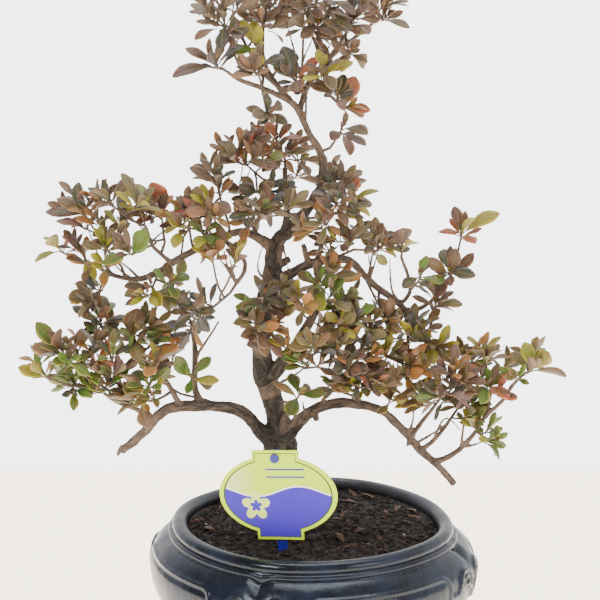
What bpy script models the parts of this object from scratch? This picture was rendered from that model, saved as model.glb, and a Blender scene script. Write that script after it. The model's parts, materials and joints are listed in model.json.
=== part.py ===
"""A rhododendron bonsai in a dark glazed pot with four soft corners, with a plain plant label in its soil.

Lengths are metres with +Z up, and a name ending in _MM is in millimetres.  Under the root empty the pot's
axis is x = 0, y = 0 and the table is z = 0.  The tree's crooks were set by eye in one front view, so its
routes are places in that view: across and down in a picture of 600 by 600, then millimetres behind the axis.
"""
import math
import random
from collections import namedtuple

import bmesh
import bpy
from mathutils import Matrix, Vector
from mathutils.bvhtree import BVHTree

MM = 0.001
TOUCH_GAP = 0.3 * MM

# The front view in which the tree was set out
PICTURE_MIDDLE = 300
VIEW_EYE = Vector((-0.008, -0.966, 0.396))
VIEW_PITCH = math.radians(10)
VIEW_FOCAL = 1485

# The pot
PLANT_CENTRE = Vector((0.0136, 0.0, 0.0))
POT_SIDES = 32
CORNER_TURN = math.radians(-19)
CORNER_BULGE = 0.028
LIP_MIDDLE_MM = (90, 72)
LIP_RADIUS_MM = 5
RIDGE_MIDDLE_MM = (95.4, 68.3)
RIDGE_RADIUS_MM = 2.2
BELLY_MIDDLE_MM = (84, 47)
BELLY_REACH_MM = 26
BELLY_UP_MM = 23
BELLY_DOWN_MM = 33
FOOT_OUTER_MM = 77
FOOT_INNER_MM = 65
UNDERSIDE_MM = 6
DRAIN_RADIUS_MM = 11
INSIDE_MM = [(72, 14), (89, 23), (101, 45), (97, 59), (86, 67)]
FOOT_ARCH_RADIUS = 0.009
FOOT_ARCH_LENGTH = 0.11
FOOT_ARCH_START = 0.02
FOOT_ARCH_CENTRE = -0.0055

# The soil and the holes in it
SOIL_EDGE_MM = 70
SOIL_CROWN_MM = 72.5
SOIL_TOP_MM = [(84, 69.6), (58, 71.5)]
TRUNK_HOLE_DEPTH = 0.020
TRUNK_HOLE_GAP_MM = 0.5
TRUNK_FOOT_MM = 13.5

# The label
PLATE_HALF_WIDTH = 0.0394
PLATE_HALF_HEIGHT = 0.0260
TAB_HALF_WIDTH = 0.0155
TAB_REACH = 0.0294
PLATE_THICK = 0.0014
PLATE_STEPS = 8
LABEL_LEAN = math.radians(-4.5)
LABEL_YAW = math.radians(-16)
PLATE_SEEN = (278, 495, -54)
STAKE_WIDTH = 0.0062
STAKE_THICK = 0.0016
STAKE_IN_SOIL = 0.026
SLOT_HEIGHT = 0.06
PEG_RADIUS = 0.0016
BUTTON_RADIUS = 0.0030
BUTTON_THICK = 0.0012
PEG_BELOW_TOP = 0.0050

# The wood: across, down, depth in mm, radius in mm
LIMBS = {
    "trunk": [(281, 531, 14, 13.5), (281, 500, 14, 12.4), (281, 470, 13, 11.8), (281, 448, 12, 11.2),
              (280, 430, 12, 9.4), (277, 415, 12, 7.7), (273, 400, 10, 7.0), (268, 385, 9, 7.9),
              (264, 370, 7, 8.3), (262, 355, 5, 6.8), (261, 338, 3, 6.1), (263, 320, 1, 5.8),
              (266, 300, 0, 6.0), (272, 281, 0, 6.7), (273, 263, 0, 5.5), (275, 249, 0, 5.9),
              (280, 238, 0, 5.0), (289, 231, 2, 4.4), (301, 217, 4, 4.0), (312, 203, 6, 3.7),
              (321, 188, 6, 3.5), (323, 170, 4, 3.0), (320, 152, 2, 2.7), (310, 135, 0, 2.4),
              (303, 120, -1, 2.3), (297, 108, -2, 2.2), (286, 97, -4, 2.1)],
    "crown_left": [(289, 100, -3, 2.0), (262, 88, -10, 1.8), (240, 80, -16, 1.5), (226, 71, -20, 1.2)],
    "crown_middle": [(289, 99, -4, 2.0), (270, 75, 0, 1.7), (263, 55, 4, 1.4), (263, 42, 6, 1.2)],
    "crown_right": [(299, 113, -1, 2.1), (305, 92, 4, 2.0), (312, 77, 8, 1.8), (325, 63, 10, 1.7),
                    (340, 49, 12, 1.5), (358, 35, 14, 1.3), (368, 27, 15, 1.2)],
    "left_high": [(274, 249, 0, 4.4), (262, 240, -3, 3.2), (245, 232, -7, 2.8), (230, 234, -10, 2.6),
                  (212, 240, -13, 2.5), (195, 250, -16, 2.4), (175, 261, -18, 2.3), (158, 272, -18, 2.1),
                  (140, 279, -15, 1.9), (125, 278, -12, 1.7), (110, 274, -8, 1.5), (98, 267, -4, 1.3)],
    "left_high_up": [(172, 263, -18, 1.7), (161, 254, -21, 1.5), (152, 245, -24, 1.3), (149, 236, -26, 1.2)],
    "left_hanging": [(223, 236, -11, 1.8), (232, 249, -20, 1.6), (244, 260, -28, 1.5), (244, 272, -32, 1.4),
                     (236, 284, -33, 1.2)],
    "right_high": [(273, 281, 0, 4.6), (290, 274, -5, 3.3), (313, 263, -8, 3.1), (340, 259, -6, 2.9),
                   (353, 263, -3, 2.6), (366, 277, 0, 2.4), (379, 289, 3, 2.3), (393, 299, 5, 2.2),
                   (405, 311, 6, 2.0), (408, 334, 4, 1.6), (408, 350, 2, 1.3)],
    "right_high_up": [(391, 298, 5, 1.9), (402, 302, 0, 1.7), (410, 291, -3, 1.5), (408, 276, -6, 1.3),
                      (403, 262, -8, 1.2)],
    "right_high_out": [(404, 310, 6, 1.9), (418, 309, 9, 1.6), (430, 302, 10, 1.5), (440, 292, 9, 1.3),
                       (446, 283, 8, 1.2)],
    "right_fork": [(267, 379, 7, 5.8), (276, 370, 3, 5.2), (286, 357, -1, 4.6), (297, 344, -6, 4.0),
                   (305, 330, -10, 3.4), (312, 318, -14, 2.9), (317, 308, -17, 2.4)],
    "right_fork_out": [(304, 333, -9, 2.2), (321, 337, -14, 1.8), (331, 344, -17, 1.5), (337, 351, -19, 1.3)],
    "rear_high": [(283, 236, 1, 3.0), (287, 215, 14, 2.4), (285, 190, 28, 2.0), (285, 168, 38, 1.6)],
    "rear_low": [(262, 352, 4, 3.4), (266, 338, 22, 2.8), (276, 322, 42, 2.3), (288, 308, 58, 1.8)],
    "left_low": [(279, 445, 12, 6.0), (264, 434, 9, 5.0), (251, 420, 4, 4.4), (238, 410, -2, 4.1),
                 (215, 406, -8, 3.9), (190, 406, -12, 3.9), (170, 408, -14, 3.7), (158, 416, -14, 3.5),
                 (147, 429, -12, 3.2), (135, 440, -10, 3.0), (122, 451, -8, 2.8)],
    "left_low_up": [(180, 405, -13, 2.2), (172, 391, -18, 1.8), (166, 380, -20, 1.6), (163, 371, -22, 1.3)],
    "left_low_stem": [(201, 404, -10, 2.9), (195, 388, -6, 2.3), (195, 366, -2, 2.1), (195, 348, 1, 1.9),
                      (192, 330, 4, 1.6)],
    "left_low_out": [(151, 421, -13, 2.3), (140, 411, -18, 1.9), (125, 405, -22, 1.6), (112, 399, -24, 1.4),
                     (104, 393, -26, 1.2)],
    "right_low": [(283, 437, 12, 5.7), (295, 426, 8, 4.7), (305, 416, 5, 4.1), (315, 409, 2, 3.8),
                  (327, 405, -1, 3.5), (341, 403, -5, 3.4), (356, 404, -8, 3.3), (372, 407, -10, 3.1),
                  (384, 412, -11, 2.9), (395, 422, -11, 2.8), (407, 434, -10, 2.7), (420, 450, -8, 2.6),
                  (434, 462, -6, 2.5), (445, 473, -4, 2.4), (454, 484, -2, 2.3)],
    "right_low_up": [(411, 438, -9, 1.9), (420, 424, -15, 1.6), (430, 412, -18, 1.4), (436, 404, -20, 1.2)],
    "right_low_stem": [(421, 450, -8, 1.9), (433, 441, -3, 1.6), (444, 428, 0, 1.4), (451, 418, 2, 1.2)],
    "right_low_out": [(435, 462, -6, 2.3), (448, 457, -10, 1.9), (462, 447, -12, 1.8), (476, 431, -14, 1.6),
                      (486, 414, -15, 1.4), (489, 402, -15, 1.2)],
    "right_low_far": [(485, 416, -15, 1.7), (502, 401, -19, 1.4), (512, 386, -21, 1.3), (522, 376, -21, 1.1)],
}

# Each spray leaves a limb at a place in the view, or goes on from the limb's end.  Its shoots each end in a
# rosette: across, down, depth in mm, tones, then the leaf tips that were placed by eye, with their tones.  A
# leaf that stands out by its width also has that width, as a share of its length.
# Tones: b bronze, p pink brown, o olive, s slate, r red, n orange, y yellow green, g green.
END = None
Rosette = namedtuple("Rosette", "across down depth tones tips")


def rosette(across, down, depth, tones, *tips):
    return Rosette(across, down, depth, tones, tips)


SPRAYS = {
    "spray_crown_far_left": ("crown_left", END, [
        rosette(215, 64, -22, "pbs", (172, 77, "p"), (185, 48, "b"), (209, 38, "b"), (244, 47, "s"))]),
    "spray_crown_top_left": ("crown_left", (240, 80), [
        rosette(224, 20, -16, "obs", (190, 4, "o"), (190, 20, "b"), (194, 43, "p"), (222, 50, "s"))]),
    "spray_crown_left_front": ("crown_left", (262, 88), [
        rosette(258, 68, -30, "bso", (231, 77, "b"), (236, 90, "o"), (285, 58, "s")),
        rosette(268, 112, -30, "osb", (252, 116, "o"), (262, 125, "s"), (282, 104, "b"))]),
    "spray_crown_middle": ("crown_middle", END, [
        rosette(251, 22, 12, "obs", (283, 12, "o")),
        rosette(257, 48, -14, "yyg", (241, 20, "y", 0.38), (253, 21, "y", 0.42)),
        rosette(243, -8, -2, "obb"),
        rosette(270, -36, 6, "obn")]),
    "spray_crown_right_front": ("crown_right", (313, 77), [
        rosette(337, 95, -22, "ssp", (344, 74, "s"), (334, 76, "s"), (309, 84, "p", 0.4)),
        rosette(348, 107, -12, "rnb", (355, 76, "r", 0.6), (336, 104, "b")),
        rosette(324, 70, -26, "ybo", (340, 62, "b")),
        rosette(294, 79, -18, "spb", (320, 57, "r", 0.36), (283, 46, "s", 0.52), (274, 61, "s", 0.48),
                (299, 92, "b", 0.6))]),
    "spray_crown_right_mass": ("crown_right", (327, 62), [
        rosette(318, 26, -4, "obo", (300, 38, "o"), (336, 36, "b")),
        rosette(300, -12, 6, "bon"),
        rosette(334, -4, -10, "obo")]),
    "spray_crown_right_top": ("crown_right", (342, 48), [
        rosette(352, 20, -4, "obb", (370, 34, "b"), (338, 14, "o")),
        rosette(350, 53, -14, "ob", (366, 64, "o"), (338, 66, "b"))]),
    "spray_crown_far_right": ("crown_right", END, [
        rosette(386, 17, 8, "nob", (410, 28, "o"), (384, -6, "n"), (398, 40, "b")),
        rosette(352, -8, 26, "obo")]),
    "spray_crown_back": ("crown_right", (308, 86), [
        rosette(336, 28, 42, "obn"),
        rosette(304, 6, 44, "obo")]),
    "spray_crown_back_left": ("crown_left", (252, 84), [
        rosette(236, 34, 22, "obs"),
        rosette(266, 14, 22, "bos")]),
    "spray_crown_skirt": ("trunk", (318, 149), [
        rosette(342, 128, -10, "sbo", (366, 110, "s"), (368, 135, "o"), (366, 146, "b"), (350, 156, "p"),
                (346, 102, "s"))]),
    "spray_middle_back": ("rear_high", END, [
        rosette(276, 138, 34, "brb", (250, 126, "r"), (292, 124, "b"), (262, 158, "r")),
        rosette(302, 158, 50, "obs")]),
    "spray_middle_left": ("rear_high", (285, 196), [
        rosette(244, 160, 4, "bbr", (216, 142, "b"), (212, 159, "b"), (254, 132, "r"), (268, 168, "b")),
        rosette(258, 192, -6, "sos", (238, 186, "s"), (276, 180, "s"))]),
    "spray_middle_left_high": ("left_high", (232, 234), [
        rosette(216, 178, -14, "bos", (189, 168, "b"), (193, 180, "b"), (199, 160, "b"), (236, 172, "s")),
        rosette(207, 205, -26, "ony", (195, 186, "o"), (190, 217, "n"), (232, 212, "b"))]),
    "spray_middle_left_low": ("left_high", (208, 242), [
        rosette(180, 222, -24, "byp", (180, 195, "b"), (166, 234, "y"), (162, 214, "b")),
        rosette(206, 232, -34, "gyo", (222, 244, "g"), (196, 248, "y"))]),
    "spray_middle_front": ("left_high", (250, 233), [
        rosette(262, 208, -26, "ogo", (242, 202, "o"), (284, 204, "o"), (272, 226, "b"))]),
    "spray_middle_right_high": ("trunk", (314, 200), [
        rosette(342, 184, -4, "obo", (362, 170, "o"), (367, 180, "b")),
        rosette(336, 204, -26, "sob", (328, 190, "s"))]),
    "spray_middle_right": ("trunk", (301, 217), [
        rosette(350, 203, -16, "oys", (380, 191, "y"), (372, 203, "o"), (370, 214, "y"), (352, 182, "s")),
        rosette(324, 222, -24, "osn", (302, 228, "n"), (340, 214, "s"))]),
    "spray_middle_right_low": ("right_high", (330, 260), [
        rosette(350, 240, -18, "rob", (330, 228, "r"), (364, 222, "o"), (373, 236, "o"), (342, 252, "p")),
        rosette(382, 246, -10, "bys", (396, 258, "y"))]),
    "spray_middle_rear": ("rear_high", (287, 214), [
        rosette(334, 178, 56, "obs"),
        rosette(258, 214, 52, "oob")]),
    "spray_left_far_top": ("left_high_up", END, [
        rosette(110, 200, -34, "obs", (99, 165, "o"), (134, 178, "b"), (92, 190, "o")),
        rosette(138, 204, -38, "yob", (121, 173, "o"), (140, 184, "y"))]),
    "spray_left_far_high": ("left_high", (125, 278), [
        rosette(84, 210, -14, "snp", (78, 182, "s"), (62, 188, "s"), (45, 212, "p"), (56, 199, "b"),
                (72, 228, "n")),
        rosette(122, 222, -16, "sys", (120, 195, "s", 0.5), (104, 212, "y"))]),
    "spray_left_far": ("left_high", END, [
        rosette(84, 252, -5, "psn", (66, 236, "p"), (64, 275, "r", 0.5), (93, 283, "y", 0.5), (76, 232, "s"),
                (100, 240, "o")),
        rosette(58, 247, 6, "yyn", (48, 238, "y"))]),
    "spray_left_far_low": ("left_high", (111, 275), [
        rosette(93, 294, -12, "bos", (76, 282, "b"), (68, 298, "o"), (110, 306, "b")),
        rosette(104, 246, -34, "oyo", (120, 236, "y"))]),
    "spray_left_red": ("left_high_up", (161, 254), [
        rosette(162, 212, -16, "rbp", (152, 182, "r", 0.62), (168, 196, "b"), (136, 224, "r")),
        rosette(128, 252, -52, "gpp", (148, 231, "g", 0.62), (148, 259, "p", 0.44))]),
    "spray_left_under": ("left_high", (160, 271), [
        rosette(150, 286, -30, "byo", (124, 287, "b"), (124, 296, "o"), (138, 304, "o"), (162, 306, "y")),
        rosette(172, 281, -38, "gyb", (188, 274, "g"), (166, 262, "b"))]),
    "spray_left_hanging": ("left_hanging", END, [
        rosette(192, 312, -34, "ssb", (158, 307, "s"), (176, 291, "s", 0.5), (190, 288, "s", 0.52),
                (216, 311, "s"), (210, 332, "s"), (174, 333, "s"), (205, 296, "b")),
        rosette(212, 256, -40, "ynb", (198, 240, "y"), (222, 240, "n")),
        rosette(236, 258, -42, "ybo", (244, 244, "y"))]),
    "spray_left_rear": ("left_high", (195, 250), [
        rosette(188, 212, 24, "obs"),
        rosette(174, 280, 32, "gyo")]),
    "spray_low_left_far": ("left_low_out", END, [
        rosette(74, 382, -22, "gog", (54, 364, "g"), (92, 398, "g"), (60, 398, "g"), (88, 364, "o")),
        rosette(42, 373, -30, "yng", (18, 367, "y"), (17, 383, "n"))]),
    "spray_low_left_out": ("left_low_out", (114, 400), [
        rosette(62, 350, -40, "bob", (36, 322, "y", 0.42), (58, 330, "b"), (32, 347, "b"), (38, 356, "b")),
        rosette(95, 347, -34, "nbs", (82, 328, "s"), (102, 368, "n"))]),
    "spray_low_left_high": ("left_low_out", (128, 406), [
        rosette(100, 320, -8, "gns", (112, 302, "g"), (88, 338, "s"), (72, 306, "s")),
        rosette(108, 384, -40, "oog", (96, 372, "o"))]),
    "spray_low_left_top": ("left_low_up", END, [
        rosette(132, 341, -28, "bgb", (138, 308, "b", 0.72), (118, 318, "b", 0.5), (113, 342, "b"),
                (142, 362, "o")),
        rosette(154, 341, -20, "bby", (175, 326, "y", 0.3), (157, 317, "b", 0.64))]),
    "spray_low_left_front": ("left_low_up", (171, 389), [
        rosette(156, 362, -40, "nyb", (178, 344, "n"), (176, 352, "b"), (140, 354, "n")),
        rosette(148, 382, -46, "gyg", (132, 372, "g")),
        rosette(140, 398, -38, "npn", (118, 398, "n"), (150, 428, "p", 0.66), (128, 386, "n"))]),
    "spray_low_left_inner": ("left_low_stem", (195, 372), [
        rosette(191, 376, -26, "oyo", (211, 357, "o"), (175, 356, "y"), (213, 385, "s"), (174, 382, "s"))]),
    "spray_low_left_back": ("left_low_stem", END, [
        rosette(184, 304, 14, "ssb"),
        rosette(202, 318, 26, "ssb")]),
    "spray_low_left_rear": ("left_low", (215, 403), [
        rosette(174, 352, 34, "obn"),
        rosette(150, 372, 30, "gob")]),
    "spray_trunk_front": ("trunk", (263, 322), [
        rosette(262, 296, -24, "obs", (246, 304, "o"), (241, 313, "b"), (284, 308, "s"), (278, 280, "o")),
        rosette(258, 332, -28, "bpo", (240, 336, "p"), (280, 324, "n"), (268, 348, "p"))]),
    "spray_centre_green": ("trunk", (275, 404), [
        rosette(300, 394, -22, "gob", (291, 373, "g"), (325, 394, "g"), (288, 416, "g"))]),
    "spray_centre_twig": ("right_fork", (287, 356), [
        rosette(320, 364, -28, "pbp", (334, 376, "b"), (332, 354, "p"), (306, 374, "p")),
        rosette(288, 346, -26, "nny", (294, 364, "n"))]),
    "spray_centre_right": ("right_fork", END, [
        rosette(318, 286, -24, "gog", (298, 272, "o"), (338, 276, "g"), (322, 312, "y")),
        rosette(298, 300, -30, "oyo", (282, 300, "s")),
        rosette(346, 299, -12, "ogs", (356, 288, "g")),
        rosette(340, 326, -28, "oby", (356, 314, "o"), (326, 312, "y"))]),
    "spray_centre_low": ("right_fork_out", END, [
        rosette(345, 366, -33, "sps", (332, 370, "s"), (362, 372, "p")),
        rosette(368, 342, -16, "obs", (384, 330, "o"), (352, 336, "s"))]),
    "spray_right_inner": ("right_high", (378, 288), [
        rosette(360, 312, -14, "osb", (348, 300, "o")),
        rosette(386, 322, -10, "obo", (398, 334, "y"), (372, 326, "o"))]),
    "spray_right_low_end": ("right_high", END, [
        rosette(404, 376, -12, "obn", (386, 372, "b"), (424, 370, "n"), (416, 392, "y")),
        rosette(384, 352, -14, "yno", (392, 334, "y"), (366, 362, "n"), (396, 364, "y"))]),
    "spray_right_low_inner": ("right_low", (356, 401), [
        rosette(364, 382, -30, "obs", (384, 386, "o"), (346, 384, "s")),
        rosette(336, 386, -6, "gob")]),
    "spray_right_top": ("right_high_up", END, [
        rosette(402, 246, -12, "pby", (403, 228, "p", 0.6), (419, 243, "y"), (386, 240, "b"))]),
    "spray_right_front": ("right_high_up", (409, 284), [
        rosette(420, 276, -22, "bsg", (428, 258, "b"), (438, 282, "g"), (402, 288, "s"))]),
    "spray_right_far_high": ("right_high_out", END, [
        rosette(449, 273, -12, "psp", (425, 258, "p", 0.36), (443, 249, "s", 0.5), (456, 248, "p", 0.5),
                (474, 253, "p", 0.36), (476, 276, "s", 0.36), (436, 283, "s", 0.5)),
        rosette(462, 232, -2, "byr", (454, 206, "p", 0.5), (470, 207, "s", 0.6), (500, 213, "y", 0.4),
                (441, 232, "r", 0.3), (476, 244, "r", 0.3))]),
    "spray_right_middle": ("right_high_out", (430, 303), [
        rosette(436, 303, -8, "bob", (454, 312, "b"), (446, 290, "o")),
        rosette(428, 344, -8, "ony", (448, 338, "y"), (412, 352, "n"), (416, 330, "s"))]),
    "spray_right_rear": ("right_high", (366, 277), [
        rosette(374, 240, 40, "obs"),
        rosette(392, 316, 50, "obo")]),
    "spray_low_right_front": ("right_low_up", END, [
        rosette(454, 384, -28, "ppb", (424, 384, "p"), (428, 396, "p"), (470, 366, "b"), (478, 392, "p"))]),
    "spray_low_right_middle": ("right_low_stem", END, [
        rosette(468, 404, -6, "gob", (470, 414, "o")),
        rosette(462, 358, 8, "bob", (446, 352, "b"), (476, 346, "o"))]),
    "spray_low_right_out": ("right_low_out", END, [
        rosette(488, 384, -24, "rgp", (510, 397, "r"), (503, 374, "p"), (480, 404, "g")),
        rosette(486, 358, -10, "oby", (503, 350, "b"), (472, 350, "o"))]),
    "spray_low_right_far": ("right_low_far", END, [
        rosette(532, 368, -22, "opb", (524, 342, "y", 0.66), (511, 352, "o", 0.5), (549, 352, "y", 0.5),
                (567, 377, "b"), (533, 392, "p"), (551, 393, "p"))]),
    "spray_low_right_under": ("right_low_out", (470, 439), [
        rosette(492, 440, -18, "gyg", (499, 426, "g"), (494, 457, "g"), (522, 449, "g"))]),
    "spray_rear_low": ("rear_low", END, [
        rosette(290, 292, 68, "obs"),
        rosette(322, 322, 70, "bob"),
        rosette(256, 312, 66, "osb")]),
}

# Shoots and leaves
SEED = 27
LIMB_STEP = 11 * MM
TWIG_STEP = 26 * MM
THIN_LIMB = 2.3 * MM
STEM_SLANT = 0.6
STEM_START = 0.5
STEM_LEAVES_BY = 7 * MM
TWIG_ROOT_MM = 1.15
TWIG_TIP_MM = 0.95
TWIG_SIDES = 4
TWIG_SAG = 0.06
FORK_HALF = 1.1 * MM
FORK_PLACES = (0.35, 0.65)
SHORT_LEG = 3.5 * FORK_HALF
MOST_OF_LEG = 0.3
BOW_STEP = 1.4 * MM
SHOOT_LEVELS = 2
LEVEL_HEIGHT = 2.1 * MM
SHOOT_RISE = 0.75
SHOOT_SHARE = 0.3
LEAST_LEAVES = 4
ADDED_LEAVES = 1
LEAF_LENGTHS = (0.0125, 0.0195)
TIP_LENGTHS = (0.014, 0.022)
TIP_STRAY = 3 * MM
LEAF_SLIMNESS = (0.40, 0.52)
LEAF_ARCHES = (0.04, 0.13)
LEAF_THICK = 0.7 * MM
LEAF_SECTIONS = [(0.36, 0.80), (0.70, 0.96)]
OUTER_LEAN = math.radians(80)
INNER_LEAN = math.radians(38)
INNER_SHRINK = 0.25
LEAN_STRAY = 0.25
SWING_STRAY = 0.5
FACE_STRAY = 0.25
LEAST_LIFT = 0.2
FRONT = Vector((0, -1, 0.2))
TO_FRONT, SHOWN_TO_FRONT = 0.5, 1.5
LEAST_FACING = 0.3
NEIGHBOUR_SHARE = 0.6
GUARD = 0.35 * MM
GUARD_START = (0.2, 0.45)
ROOT_SHARE = 0.06
TRIES = 14

TONE_COLOURS = {"b": (0.20, 0.10, 0.05), "p": (0.30, 0.15, 0.11), "o": (0.16, 0.16, 0.05),
                "s": (0.10, 0.12, 0.10), "r": (0.38, 0.09, 0.05), "n": (0.50, 0.20, 0.05),
                "y": (0.42, 0.42, 0.08), "g": (0.12, 0.25, 0.06)}

# A twig's rings are its cross-sections; fork_of is the side of its spray's first twig that it grows from.
Twig = namedtuple("Twig", "route rings fork_of")
Leaf = namedtuple("Leaf", "side root reach face across width arch tone")


def seen(across, down, depth):
    """The point at a place in the front view, so many millimetres behind the pot's axis."""
    side = (across - PICTURE_MIDDLE) / VIEW_FOCAL
    rise = (PICTURE_MIDDLE - down) / VIEW_FOCAL
    pitch_cos, pitch_sin = math.cos(VIEW_PITCH), math.sin(VIEW_PITCH)
    sight = Vector((side, pitch_cos + rise * pitch_sin, rise * pitch_cos - pitch_sin))
    return VIEW_EYE + sight * ((depth * MM - VIEW_EYE.y) / sight.y)


def smooth_route(points, step):
    """Four-part vectors, place and radius, along a smooth curve through the given ones."""
    ends = [points[0] * 2 - points[1]] + points + [points[-1] * 2 - points[-2]]
    route = []
    for before, start, end, after in zip(ends, ends[1:], ends[2:], ends[3:]):
        spans = max(1, round((end - start).to_3d().length / step))
        for i in range(spans):
            t = i / spans
            bend = (before * -1 + start * 3 - end * 3 + after) * t ** 3
            bend += (before * 2 - start * 5 + end * 4 - after) * t ** 2
            bend += (end - before) * t
            route.append(start + bend * 0.5)
    return route + [points[-1].copy()]


def limb_route(name):
    points = []
    for across, down, depth, radius in LIMBS[name]:
        points.append(Vector((*seen(across, down, depth), radius * MM)))
    return smooth_route(points, LIMB_STEP)


def place_on_limb(route, across, down):
    """The point of a limb's middle line that the front view shows nearest to a place in it."""
    sight = (seen(across, down, 0) - VIEW_EYE).normalized()
    return min(range(1, len(route)), key=lambda i: (route[i].to_3d() - VIEW_EYE).cross(sight).length)


def directions(route):
    found = []
    for i in range(len(route)):
        found.append((route[min(i + 1, len(route) - 1)] - route[max(i - 1, 0)]).to_3d().normalized())
    return found


def ring(centre, along, across, radius, sides):
    """A ring of points about a direction, and the first one's direction from the middle."""
    across = (across - along * across.dot(along)).normalized()
    other = along.cross(across)
    turns = [2 * math.pi * i / sides for i in range(sides)]
    return [centre + (across * math.cos(turn) + other * math.sin(turn)) * radius for turn in turns], across


def tube_rings(route, across, sides, margin=0.0):
    rings = []
    for point, along in zip(route, directions(route)):
        points, across = ring(point.to_3d(), along, across, point.w + margin, sides)
        rings.append(points)
    return rings


def loft(rings, closed=True):
    """Corner points and faces of a skin over rings of equal count, or over rings ending in one point."""
    corners, faces, starts = [], [], []
    for points in rings:
        starts.append(len(corners))
        corners.extend(points)
    count = len(rings[0])
    for row, start in enumerate(starts[:-1]):
        upper = starts[row + 1]
        single = len(rings[row + 1]) == 1
        for i in range(count):
            j = (i + 1) % count
            if single:
                faces.append((start + i, start + j, upper))
            else:
                faces.append((start + i, start + j, upper + j, upper + i))
    if closed:
        faces.append(tuple(range(count))[::-1])
        if len(rings[-1]) == count:
            faces.append(tuple(range(starts[-1], starts[-1] + count)))
    return corners, faces


def tube_guard(route):
    """A search tree of a slightly fatter tube, for keeping other pieces clear of it."""
    return BVHTree.FromPolygons(*loft(tube_rings(route, Vector((0.31, 0.83, 0.46)), 6, GUARD)))


def twig_route(start, leaving, centre, bow):
    """A twig's route from its start to a rosette, where it turns upwards in a short straight shoot."""
    span = centre - start.to_3d()
    axis = (span.normalized() + Vector((0, 0, SHOOT_RISE))).normalized()
    height = min(LEVEL_HEIGHT, SHOOT_SHARE * span.length / SHOOT_LEVELS)
    foot = centre - axis * height * SHOOT_LEVELS
    leaves_by = min(STEM_LEAVES_BY, SHOOT_SHARE * span.length)
    points = [start, Vector((*(start.to_3d() + leaving * leaves_by), start.w))]
    if span.length > TWIG_STEP:
        middle = (points[-1].to_3d() + foot) / 2 + bow - Vector((0, 0, TWIG_SAG * span.length))
        points.append(Vector((*middle, start.w)))
    points.append(Vector((*foot, TWIG_TIP_MM * MM)))
    route = smooth_route(points, TWIG_STEP)
    for level in range(1, SHOOT_LEVELS + 1):
        route.append(Vector((*(foot + axis * height * level), TWIG_TIP_MM * MM)))
    return route


def with_fork(route, target):
    """The route with two close points where a twig to the target leaves it, and the first one's index."""
    legs = []
    for i in range(1, len(route) - SHOOT_LEVELS - 1):
        leg = (route[i + 1] - route[i]).to_3d()
        share = (target - route[i].to_3d()).dot(leg) / leg.length_squared
        share = min(FORK_PLACES[1], max(FORK_PLACES[0], share))
        apart = (route[i].lerp(route[i + 1], share).to_3d() - target).length
        legs.append((leg.length < SHORT_LEG, apart, i, share, leg.length))
    _, _, i, share, length = min(legs)
    half = min(FORK_HALF / length, MOST_OF_LEG)
    below = route[i].lerp(route[i + 1], share - half)
    above = route[i].lerp(route[i + 1], share + half)
    return route[:i + 1] + [below, above] + route[i + 1:], i + 1


def side_corners(rings, segment, side):
    """The four corners of a side face of a twig, anticlockwise from outside."""
    after = (side + 1) % TWIG_SIDES
    return [rings[segment][side], rings[segment][after], rings[segment + 1][after], rings[segment + 1][side]]


def side_frame(rings, segment, side):
    corners = side_corners(rings, segment, side)
    middle = (corners[0] + corners[1] + corners[2] + corners[3]) / 4
    return middle, (corners[1] - corners[0]).cross(corners[3] - corners[0]).normalized(), corners


def set_out_twigs(draws, limb_points, place, centres, barriers):
    """The routes of a spray's twigs: the first from the limb, the others from its sides."""
    at = len(limb_points) - 1 if place is END else place_on_limb(limb_points, *place)
    root = limb_points[at].to_3d()
    along = (limb_points[at] - limb_points[at - 1]).to_3d().normalized()
    out = (centres[0] - root).normalized()
    leaving = along if place is END else (out - along * out.dot(along) * STEM_SLANT).normalized()
    start = root if place is END else root + leaving * limb_points[at].w * STEM_START
    start = Vector((*start, min(TWIG_ROOT_MM * MM, limb_points[at].w)))
    stem = clear_route(draws, start, leaving, centres[0], barriers)
    forks = []
    for centre in centres[1:]:
        stem, at = with_fork(stem, centre)
        forks = [fork + 2 if fork >= at else fork for fork in forks] + [at]
    rings = tube_rings(stem, Vector((draws.uniform(-1, 1), draws.uniform(-1, 1), 0.2)), TWIG_SIDES)
    twigs = [Twig(stem, rings, None)]
    barriers = barriers + [tube_guard(stem)]
    for fork, centre in zip(forks, centres[1:]):
        used = [twig.fork_of for twig in twigs]
        open_sides = [side for side in range(TWIG_SIDES) if (fork, side) not in used]
        frames = {side: side_frame(rings, fork, side) for side in open_sides}
        side = max(frames, key=lambda s: frames[s][1].dot((centre - frames[s][0]).normalized()))
        middle, outward, corners = frames[side]
        leaving = (outward + (centre - middle).normalized()).normalized()
        route = clear_route(draws, Vector((*middle, TWIG_TIP_MM * MM)), leaving, centre, barriers)
        grown = [corners] + tube_rings(route, corners[0] - middle, TWIG_SIDES)[1:]
        twigs.append(Twig(route, grown, (fork, side)))
        barriers.append(tube_guard(route))
    return twigs


def clear_route(draws, start, leaving, centre, barriers):
    """A twig's route, bowed a little more each time until it passes clear of the wood and other twigs."""
    straight = twig_route(start, leaving, centre, Vector())
    for attempt in range(TRIES):
        bow = Vector([draws.uniform(-1, 1) for _ in range(3)]) * BOW_STEP * attempt
        route = twig_route(start, leaving, centre, bow)
        guard = tube_guard(route[1:])
        if not any(guard.overlap(barrier) for barrier in barriers):
            return route
    return straight


def leaf_middle(leaf, t):
    """The middle of a leaf at a share of its length, along its arched rib."""
    return leaf.root + leaf.reach * t + leaf.face * leaf.arch * leaf.reach.length * 4 * t * (1 - t)


def leaf_section(leaf, t, share, margin=0.0):
    """A leaf's four corners at a share of its length: two along its lower face, then two along its upper."""
    middle = leaf_middle(leaf, t)
    half = leaf.across * (leaf.width * 0.5 * share + margin)
    rise = leaf.face * (LEAF_THICK * 0.5 + margin)
    return [middle + half - rise, middle - half - rise, middle - half + rise, middle + half + rise]


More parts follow.
